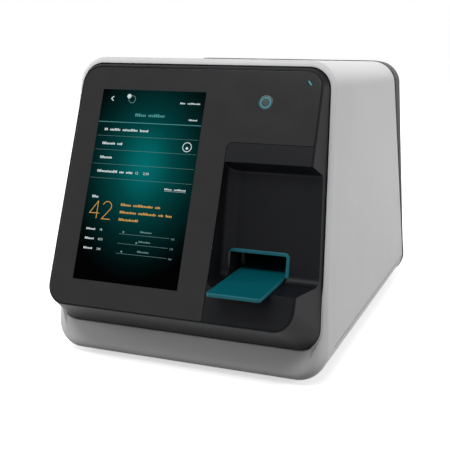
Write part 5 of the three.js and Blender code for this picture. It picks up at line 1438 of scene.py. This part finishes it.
def mark_words(up_share, first_share, word_shares, height):
    """Line of unreadable words: for each word a row of small upright blocks on one base line, evenly
    spaced, whose heights run through the list of height shares."""
    outlines, start = [], first_share
    for order, length in enumerate(word_shares):
        left, rise = display_place(start, up_share)
        width = display_place(start + length, up_share)[0] - left
        letters = np.arange(max(round(width / (height * LETTER_PITCH_SHARE)), 1))
        pitch = width / len(letters)
        tall = height * LETTER_HEIGHT_SHARES[(letters * 3 + order * 2) % len(LETTER_HEIGHT_SHARES)]
        lefts = left + letters * pitch
        low = np.full_like(lefts, rise - height / 2)
        sides = (lefts, lefts + pitch * LETTER_WIDTH_SHARE)
        outlines.append(arc_outline(four_corners(sides, sides, low, low + tall),
                                    height * LETTER_ROUND_SHARE, 2))
        start += length + WORD_GAP_SHARE
    return flat_marks("words", np.concatenate(outlines))


def word_rows(rows, height):
    """Rows of words, each given by its share of the display's height, the share of its width where
    it starts, and its words' widths as shares."""
    return [mark_words(*row, height) for row in rows]


DIGIT_SIZE_SHARE = 1.42


def mark_number(digits, across_share, up_share, height):
    """Number on the display as a thin solid of flat outlines, leaned with the face."""
    curve = bpy.data.curves.new("number", "FONT")
    curve.body = digits
    curve.size = height * DIGIT_SIZE_SHARE * MM
    curve.extrude = MARK_FAR * MM
    text = new_object("number", curve)
    mesh = applied(text)
    bpy.data.objects.remove(text)
    points = mesh_points(mesh) / MM
    x, rise = display_place(across_share, up_share)
    flat = np.stack([points[:, 0] + x, -points[:, 2], points[:, 1] + rise - height / 2], axis=-1)
    mesh.vertices.foreach_set("co", in_frame(on_face(flat)).reshape(-1))
    return weld(new_object("number", mesh))


RESULT_HEIGHT = 13.4
RESULT_LINE = 0.55
RESULT_PITCH = 10.6
RESULT_BOW = 3.6
RESULT_STEM = 6.2
RESULT_BAR_SHARE = 0.3
RESULT_OVERHANG = 2.0
RESULT_ARC = np.radians(np.linspace(165, -38, 24))
RESULT_FOOT_START = 0.2
RESULT_FOOT_END = 0.3


def result_strokes(across_share, up_share):
    """Result's two digits as thin strokes: a four of a slanted line, a bar and an upright, and a two
    of an arc, radius * (cos a, sin a) from the left over the top, that runs down to its base line."""
    crown = RESULT_HEIGHT - RESULT_BOW
    arc = np.stack([RESULT_BOW + RESULT_BOW * np.cos(RESULT_ARC),
                    crown + RESULT_BOW * np.sin(RESULT_ARC)], axis=1)
    foot = [(RESULT_FOOT_START, NONE), (2 * RESULT_BOW + RESULT_FOOT_END, NONE)]
    two = np.concatenate([arc, foot]) + (RESULT_PITCH, NONE)
    bar = RESULT_BAR_SHARE * RESULT_HEIGHT
    four = [(RESULT_STEM, RESULT_HEIGHT), (NONE, bar), (RESULT_STEM + RESULT_OVERHANG, bar)]
    upright = [(RESULT_STEM, RESULT_HEIGHT), (RESULT_STEM, NONE)]
    return [mark_stroke((across_share, up_share), path, RESULT_LINE) for path in (four, upright, two)]


# Sizes and places of the display's signs. A row of words has its share of the display's height, the
# share of its width where it starts, and its words' widths as shares.
PICTURE_LAP = 1.0
PANEL_LAP = 6.3
PANEL_THICKNESS = 5.0
PANEL_NEAR_ROUND = 0.4
PANEL_FAR_ROUND = 0.6
SMALL_LETTER = 1.35
ROW_LETTER = 1.95
HEADING_LETTER = 2.5
VALUE_LETTER = SMALL_LETTER * 1.2
FINE_LINE = 0.16
SCALE_LINE = 0.2
HEADING_LINE = 0.5
ARROW_SIZE = 3.6
ARROW_LINE = 0.75
WHITE_DOT = 1.75
CLOCK_RADIUS = 3.7
CLOCK_LINE = 0.55
CLOCK_DOT = 1.0
BADGE_RADIUS = 3.0
BADGE_LINE = 0.4
MARKER_DOT = 0.75
ARROW_SHARES = (0.105, 0.951)
WHITE_DOT_SHARES = (0.268, 0.966)
CLOCK_SHARES = (0.896, 0.714)
CLOCK_HUB_SHARES = (0.896, 0.708)
BADGE_SHARES = (0.3, 0.95)
RESULT_SHARES = (0.06, 0.317)
TIME_SHARES = {"12": (0.44, 0.565), "2:30": (0.52, 0.565)}
WHITE_LINE_SHARES = ((0.745, 0.945), 0.484)
HEADING_LINE_SHARES = ((0.004, 0.996), 0.826)
WHITE_SMALL_SHARES = ((0.938, 0.77, (0.05, 0.12)), (0.853, 0.875, (0.08,)), (0.494, 0.745, (0.07, 0.11)))
WHITE_ROW_SHARES = (
    (0.786, 0.075, (0.035, 0.105, 0.15, 0.085)), (0.712, 0.075, (0.13, 0.05)),
    (0.638, 0.075, (0.12,)), (0.565, 0.07, (0.2, 0.045, 0.065)), (0.43, 0.06, (0.065,)),
)
HEADING_SHARES = ((0.868, 0.355, (0.11, 0.16)),)
AMBER_ROW_SHARES = (
    (0.398, 0.355, (0.1, 0.19, 0.05)), (0.36, 0.355, (0.16, 0.17, 0.05, 0.06)), (0.322, 0.355, (0.19,)),
)
DIVIDER_SPAN_SHARES = (0.012, 0.988)
DIVIDER_RISE_SHARES = (0.752, 0.678, 0.603, 0.528)
# For each scale its share of the display's height, its marker's share of the width, and two numbers
SCALE_ROW_SHARES = ((0.262, 0.42, "18", "500"), (0.213, 0.56, "63.5", "250"), (0.163, 0.43, "240", "900"))
SCALE_SPAN_SHARES = (0.38, 0.86)
SCALE_DROP_SHARE = 0.012
MARKER_DROP_SHARE = 0.002
SCALE_WORD_RISE_SHARE = 0.006
SCALE_WORD_SHARES = (0.58, (0.11,))
MOST_DROP_SHARE = 0.014
MOST_START_SHARE = 0.875
VALUE_WORD_SHARES = (0.055, (0.09,))
VALUE_START_SHARE = 0.185


def white_signs():
    """White signs: rows of words, an arrow, a dot, a line, a clock's ring and hub, and numbers."""
    marks = word_rows(WHITE_SMALL_SHARES, SMALL_LETTER) + word_rows(WHITE_ROW_SHARES, ROW_LETTER)
    marks += [
        mark_chevron(*ARROW_SHARES, ARROW_SIZE, ARROW_LINE),
        mark_disc(*WHITE_DOT_SHARES, WHITE_DOT),
        mark_bar(*WHITE_LINE_SHARES, FINE_LINE),
        mark_ring(*CLOCK_SHARES, CLOCK_RADIUS, CLOCK_LINE),
        mark_disc(*CLOCK_HUB_SHARES, CLOCK_DOT),
    ]
    marks += [mark_number(digits, *shares, ROW_LETTER) for digits, shares in TIME_SHARES.items()]
    for up_share, marker_share, value, most in SCALE_ROW_SHARES:
        marks += [mark_words(up_share, *VALUE_WORD_SHARES, VALUE_LETTER),
                  mark_number(value, VALUE_START_SHARE, up_share, VALUE_LETTER)]
    return marks


def pale_scales():
    """Faint signs: a badge's ring, the scales with their markers and numbers, and the dividers."""
    marks = [mark_ring(*BADGE_SHARES, BADGE_RADIUS, BADGE_LINE)]
    for up_share, marker_share, value, most in SCALE_ROW_SHARES:
        marks += [
            mark_bar(SCALE_SPAN_SHARES, up_share - SCALE_DROP_SHARE, SCALE_LINE),
            mark_disc(marker_share, up_share - MARKER_DROP_SHARE, MARKER_DOT),
            mark_words(up_share + SCALE_WORD_RISE_SHARE, *SCALE_WORD_SHARES, SMALL_LETTER),
            mark_number(most, MOST_START_SHARE, up_share - MOST_DROP_SHARE, SMALL_LETTER),
        ]
    return marks + [mark_bar(DIVIDER_SPAN_SHARES, rise_share, FINE_LINE)
                    for rise_share in DIVIDER_RISE_SHARES]


def teal_heading():
    """Teal heading and the line under it."""
    return word_rows(HEADING_SHARES, HEADING_LETTER) + [mark_bar(*HEADING_LINE_SHARES, HEADING_LINE)]


def amber_result():
    """Amber result: its two large digits beside rows of words."""
    return word_rows(AMBER_ROW_SHARES, ROW_LETTER) + result_strokes(*RESULT_SHARES)


def make_display(materials):
    """Display panel with its black back, and the picture's bars, symbols and numbers."""
    seat = FACE_WALL + SEAT_GAP
    picture = plate("display_picture", display_outline(NONE), NONE, seat + PICTURE_LAP, onto=on_face)
    dress(picture, materials["lit"], "housing")
    back = plate("display_module", display_outline(PANEL_LAP), seat, seat + PANEL_THICKNESS,
                 PANEL_NEAR_ROUND, PANEL_FAR_ROUND, onto=on_face)
    dress(back, materials["black"], "housing", ["display_panel"])
    signs = {"display_signs": ("white", white_signs), "display_scales": ("pale", pale_scales),
             "display_heading": ("teal", teal_heading), "display_result": ("amber", amber_result)}
    for name, (finish, marks) in signs.items():
        dress(joined(name, marks()), materials[finish], "housing", angle=SIGN_ANGLE)


LIGHT_PROUD = 0.05
LENS_ROUND = 0.2
READY_RING_RADII = (4.2, 3.3)
READY_RING_DEPTH = 0.3


def make_lights(materials):
    """Slanted status light, and the round ready light: a dark disc with a softly lit ring."""
    status = plate("status_lens", status_outline(-LIGHT_LENS), -LIGHT_PROUD, FACE_WALL, LENS_ROUND,
                   onto=on_face)
    dress(status, materials["light"], "housing", ["status_light"])
    disc = ready_disc("ready_lens", READY_RADIUS, NONE, FACE_WALL)
    dress(disc, materials["ready"], "housing", ["ready_light"])
    ring = face_ring("ready_ring", (READY_X, READY_RISE), READY_RING_RADII,
                     (-LIGHT_PROUD, READY_RING_DEPTH), 64)
    dress(ring, materials["light"], "housing")


# Slot liner and tray
ARCH_DEPTH = 2.4
ARCH_EDGE = 0.55
ARCH_LAP = 0.6
ARCH_END_CORNER = 0.4
ARCH_CORNERS = np.array([LINER_CORNER, LINER_CORNER, LINER_CORNER, ARCH_END_CORNER])


def make_slot_liner(teal, black):
    """Slot: a teal arch that leans with the recess's back wall, stands a little proud of it and ends in a
    foot beside the tray; its other leg is a black post, painted shade, and behind them a sleeve in
    black, painted shade inside the slot: a rounded rectangle's wall carried back."""
    xs = (SLOT_LEFT - LINER_WALL, SLOT_RIGHT + LINER_WALL)
    zs = (SHELF_HEIGHT - LINER_WALL, SLOT_TOP + LINER_WALL)
    inset, depth = edge_arc(ARCH_EDGE)
    insets = np.concatenate([[-ARCH_LAP], inset[::-1] - ARCH_LAP, LINER_WALL - inset, [LINER_WALL]])
    depths = np.concatenate([[ARCH_DEPTH], depth[::-1], depth, [ARCH_DEPTH]])
    radii = np.maximum(ARCH_CORNERS - insets[:, None], LEAST_RADIUS)
    outline = arc_outline(box_corners(xs, zs, insets), radii, 10)
    frame = rings(outline, recess_y(outline[..., 1]) - LINER_PROUD + depths[:, None])
    wide = (-FAR, FAR)
    under = (-FAR, TRAY_BOTTOM + TRAY_THICKNESS + SEAT_GAP)
    arch, shade_post = skin("slot_arch", frame, looped=True), skin("slot_post_shade", frame, looped=True)
    combine(arch, [cuboid("under", wide, wide, under),
                   cuboid("leg", (-FAR, SLOT_LEFT), wide, (-FAR, SLOT_TOP))])
    combine(shade_post, [cuboid("under", wide, wide, under),
                   cuboid("beside", (SLOT_LEFT, FAR), wide, wide),
                   cuboid("above", wide, wide, (SLOT_TOP, FAR))])
    outer = rounded_box(xs, zs, LINER_CORNER, 10)
    outline = outer(np.array([NONE, LINER_WALL]))
    seat = recess_y(outline[..., 1]) - LINER_PROUD + ARCH_DEPTH
    tunnel = np.stack([rings(outline[0], seat[0]), rings(outline[1], seat[1]),
                       rings(outline[1], LINER_DEPTH), rings(outline[0], LINER_DEPTH)])
    sleeve = skin("slot_sleeve_shade", tunnel, looped=True)
    dress(arch, teal, "housing", ["slot_liner"], angle=SOFT_ANGLE)
    # Black on the post and the sleeve is painted shade; the liner itself is teal.
    for piece in (shade_post, sleeve):
        dress(piece, black, "housing", ["slot_liner"], angle=SOFT_ANGLE)


FLAT_SHARE = 0.9
TRAY_REAR_CORNER = 1.2
TRAY_EDGE = 0.8


def tray_outline(inset):
    """Plan of the tray, with its front corners rounder than its rear ones, moved in by the inset."""
    radii = np.stack([TRAY_CORNER - inset] * 2 + [TRAY_REAR_CORNER - inset] * 2, axis=-1)
    ys = (-TRAY_REACH, TRAY_LENGTH - TRAY_REACH)
    return arc_outline(box_corners((TRAY_LEFT, TRAY_RIGHT), ys, inset), radii, 10)


def make_tray(teal, edge):
    """Cartridge tray: a plate with rounded corners and softened edges all round, whose sides and
    softened edges get a lighter teal than its top, a painted highlight for the light those edges catch."""
    tray = plate("tray_plate", tray_outline, TRAY_BOTTOM, TRAY_BOTTOM + TRAY_THICKNESS, TRAY_EDGE,
                 TRAY_EDGE, onto=lambda points: points[..., [0, 2, 1]], steps=6)
    dress(tray, teal, "tray", ["cartridge_tray"], angle=SOFT_ANGLE)
    mesh = tray.data
    # Second slot: the lighter teal that paints the highlight on the sides and softened edges.
    mesh.materials.append(edge)
    normals = np.empty(len(mesh.polygons) * 3)
    mesh.polygons.foreach_get("normal", normals)
    highlight_faces = np.abs(normals.reshape(-1, 3)[:, 2]) < FLAT_SHARE
    mesh.polygons.foreach_set("material_index", highlight_faces.astype(int))


# Finishes
pale_plastic = moulded("pale_housing_plastic", (0.64, 0.64, 0.645), roughness=0.5, grain=1500.0,
                       relief=0.06, drift=0.02, specular=0.1)
dark_cover_plastic = moulded("dark_cover_plastic", (0.10, 0.10, 0.102), roughness=0.6, grain=1300.0,
                             relief=0.1, drift=0.06, specular=0.03)
dark_fascia_plastic = moulded("dark_fascia_plastic", (0.0040, 0.0043, 0.0055), roughness=0.42,
                              grain=1700.0, relief=0.06, drift=0.05, specular=0.11)
teal_plastic = moulded("teal_tray_plastic", (0.001, 0.075, 0.093), roughness=0.45, grain=1800.0,
                       relief=0.03, drift=0.04, specular=0.05)
# Lighter teal, a painted highlight on the tray's sides and edges; the slot's arch is made in it too.
teal_highlight = moulded("teal_highlight_plastic", (0.012, 0.120, 0.148), roughness=0.38, grain=1800.0,
                    relief=0.03, drift=0.04, specular=0.12)
black_plastic = moulded("black_moulded_plastic", (0.012, 0.012, 0.013), roughness=0.48, grain=1500.0,
                        relief=0.08, drift=0.08)
white_plastic = moulded("white_moulded_plastic", (0.70, 0.70, 0.69), roughness=0.5, grain=1200.0,
                        relief=0.06, drift=0.03)
filter_foam = moulded("filter_foam", (0.02, 0.02, 0.021), roughness=0.9, grain=420.0, relief=0.9,
                      drift=0.25, specular=0.1)
foot_rubber = moulded("foot_rubber", (0.016, 0.016, 0.017), roughness=0.85, grain=700.0, relief=0.2,
                      drift=0.12)
bright_steel = metal("bright_steel", (0.56, 0.57, 0.58), roughness=0.28, stretch=(1.0, 0.05, 1.0))
brass_pins = metal("plated_pins", (0.62, 0.60, 0.54), roughness=0.25)
machined_aluminium = metal("machined_aluminium", (0.66, 0.67, 0.68), roughness=0.32,
                           stretch=(0.06, 1.0, 1.0))
zinc_sheet = zinc_plated()
board_lacquer = circuit_board()
screen_finishes = {
    "lit": lit_picture(),
    "black": black_plastic,
    "white": lit_mark("white_signs", (0.62, 0.70, 0.70)),
    "pale": lit_mark("faint_scales", (0.10, 0.22, 0.22)),
    "teal": lit_mark("teal_heading", (0.02, 0.24, 0.235)),
    "amber": lit_mark("amber_result", (0.62, 0.30, 0.035)),
    "light": lit_mark("teal_light", (0.012, 0.22, 0.25)),
    "ready": moulded("ready_disc_plastic", (0.006, 0.03, 0.035), roughness=0.2, grain=1200.0, relief=0.02),
}

# Pieces
make_camera()
make_housing(pale_plastic)
make_feet(foot_rubber)
make_rear_cover(dark_cover_plastic)
make_port_insides(white_plastic, brass_pins)
make_vent_filter(filter_foam)
make_rear_screws(bright_steel)
make_power_entry(black_plastic, brass_pins)
make_fascia(dark_fascia_plastic)
make_glass(cover_glass_black())
make_display(screen_finishes)
make_lights(screen_finishes)
make_slot_liner(teal_highlight, black_plastic)
make_tray(teal_plastic, teal_highlight)

# The material of each node that keeps its CAD shape
NODE_FINISHES = {
    bright_steel: ["tray_rail_left", "tray_rail_right", "tray_screw", "press_rod_left",
                   "press_rod_right", "press_screw", "chassis_screw_1", "chassis_screw_2",
                   "chassis_screw_3", "chassis_screw_4"],
    zinc_sheet: ["display_frame", "mechanism_frame", "chassis_floor", "motor_mount", "power_supply",
                 "shutter_guide"],
    machined_aluminium: ["heat_sink", "press_beam", "heater_plate", "reader_camera"],
    board_lacquer: ["main_board", "rear_board", "display_board"],
    white_plastic: ["screw_bearing", "press_head"],
    black_plastic: ["tray_carriage", "tray_motor", "tray_sensor", "shutter_door",
                    "shutter_actuator", "press_motor", "reader_housing", "speaker", "fan_frame",
                    "fan_rotor", "power_rocker"],
}
for finish, names in NODE_FINISHES.items():
    for name in names:
        nodes[name].material_slots[0].material = finish
for name in ("usb_ports", "network_port"):
    nodes[name].material_slots[0].material = socket_steel(name)

# Floor, lamps and surroundings
FLOOR_SIZE = 6.0
WHITE = (1.0, 1.0, 1.0, 1.0)
FLOOR_SEEN = (0.95, 0.95, 0.95, 1.0)
FLOOR_LIT = (0.15, 0.15, 0.15, 1.0)
GLOW_NEAR = 0.15
GLOW_FAR = 0.9
GLOW_NEAR_STRENGTH = 0.6
WORLD_STRENGTH = 0.12
# For each lamp its place, the point it is turned to, its size in metres and its power in watts
LAMPS = {
    "lamp_above": ((-0.1, -1.05, 1.6), (0.0, 0.0, 0.12), (1.3, 0.6), 24.0),
    "lamp_right": ((1.55, 0.3, 0.5), (0.0, 0.0, 0.1), (0.9, 0.8), 11.0),
    "lamp_left": ((-1.5, -0.75, 0.5), (0.0, 0.0, 0.1), (0.6, 0.8), 12.0),
    "lamp_behind": ((0.1, 1.6, 0.7), (0.0, 0.0, 0.1), (1.4, 0.8), 7.0),
}


def white_to_camera(tree, seen, lit):
    """Mix of two closures: seen by camera, mirror and glass rays, and by all other rays, lit."""
    path = add(tree, "ShaderNodeLightPath").outputs
    direct = add(tree, "ShaderNodeMath", path["Is Camera Ray"], path["Is Glossy Ray"],
                 operation="MAXIMUM").outputs["Value"]
    white = add(tree, "ShaderNodeMath", direct, path["Is Transmission Ray"],
                operation="MAXIMUM").outputs["Value"]
    return add(tree, "ShaderNodeMixShader", white, lit, seen).outputs["Shader"]


def make_floor():
    """Pale floor that reads white to the camera and still takes the shadow."""
    mesh = bpy.data.meshes.new("floor")
    half = FLOOR_SIZE / 2
    mesh.from_pydata([(-half, -half, 0), (half, -half, 0), (half, half, 0), (-half, half, 0)], [],
                     [(0, 1, 2, 3)])
    material = bpy.data.materials.new("white_floor")
    material.use_nodes = True
    tree = material.node_tree
    tree.nodes.clear()
    distance = add(tree, "ShaderNodeVectorMath", object_place(tree), operation="LENGTH")
    strength = spread(tree, distance.outputs["Value"], GLOW_NEAR_STRENGTH, 1.0,
                      From_Min=GLOW_NEAR, From_Max=GLOW_FAR)
    glow = add(tree, "ShaderNodeEmission", Color=WHITE, Strength=strength).outputs["Emission"]
    pale = add(tree, "ShaderNodeBsdfDiffuse", Color=FLOOR_SEEN).outputs["BSDF"]
    seen = add(tree, "ShaderNodeAddShader", pale, glow).outputs["Shader"]
    lit = add(tree, "ShaderNodeBsdfDiffuse", Color=FLOOR_LIT).outputs["BSDF"]
    add(tree, "ShaderNodeOutputMaterial", Surface=white_to_camera(tree, seen, lit))
    mesh.materials.append(material)
    new_object("floor", mesh)


def make_world():
    """White surroundings to the camera and in reflections, and a low even light on the object."""
    world = bpy.data.worlds.new("studio")
    bpy.context.scene.world = world
    world.use_nodes = True
    tree = world.node_tree
    tree.nodes.clear()
    seen, lit = (add(tree, "ShaderNodeBackground", Strength=strength, Color=WHITE).outputs["Background"]
                 for strength in (1.0, WORLD_STRENGTH))
    add(tree, "ShaderNodeOutputWorld", Surface=white_to_camera(tree, seen, lit))


def make_lamp(name, place, target, size, power):
    """Soft rectangular lamp at a place, turned towards a target."""
    data = bpy.data.lights.new(name, "AREA")
    data.shape = "RECTANGLE"
    data.size, data.size_y = size
    data.energy = power
    lamp = new_object(name, data)
    lamp.location = place
    aim = Vector(target) - Vector(place)
    lamp.rotation_euler = aim.to_track_quat("-Z", "Y").to_euler()
    lamp.visible_camera = False


make_floor()
make_world()
for name, values in LAMPS.items():
    make_lamp(name, *values)

bpy.context.scene.view_settings.view_transform = "Standard"
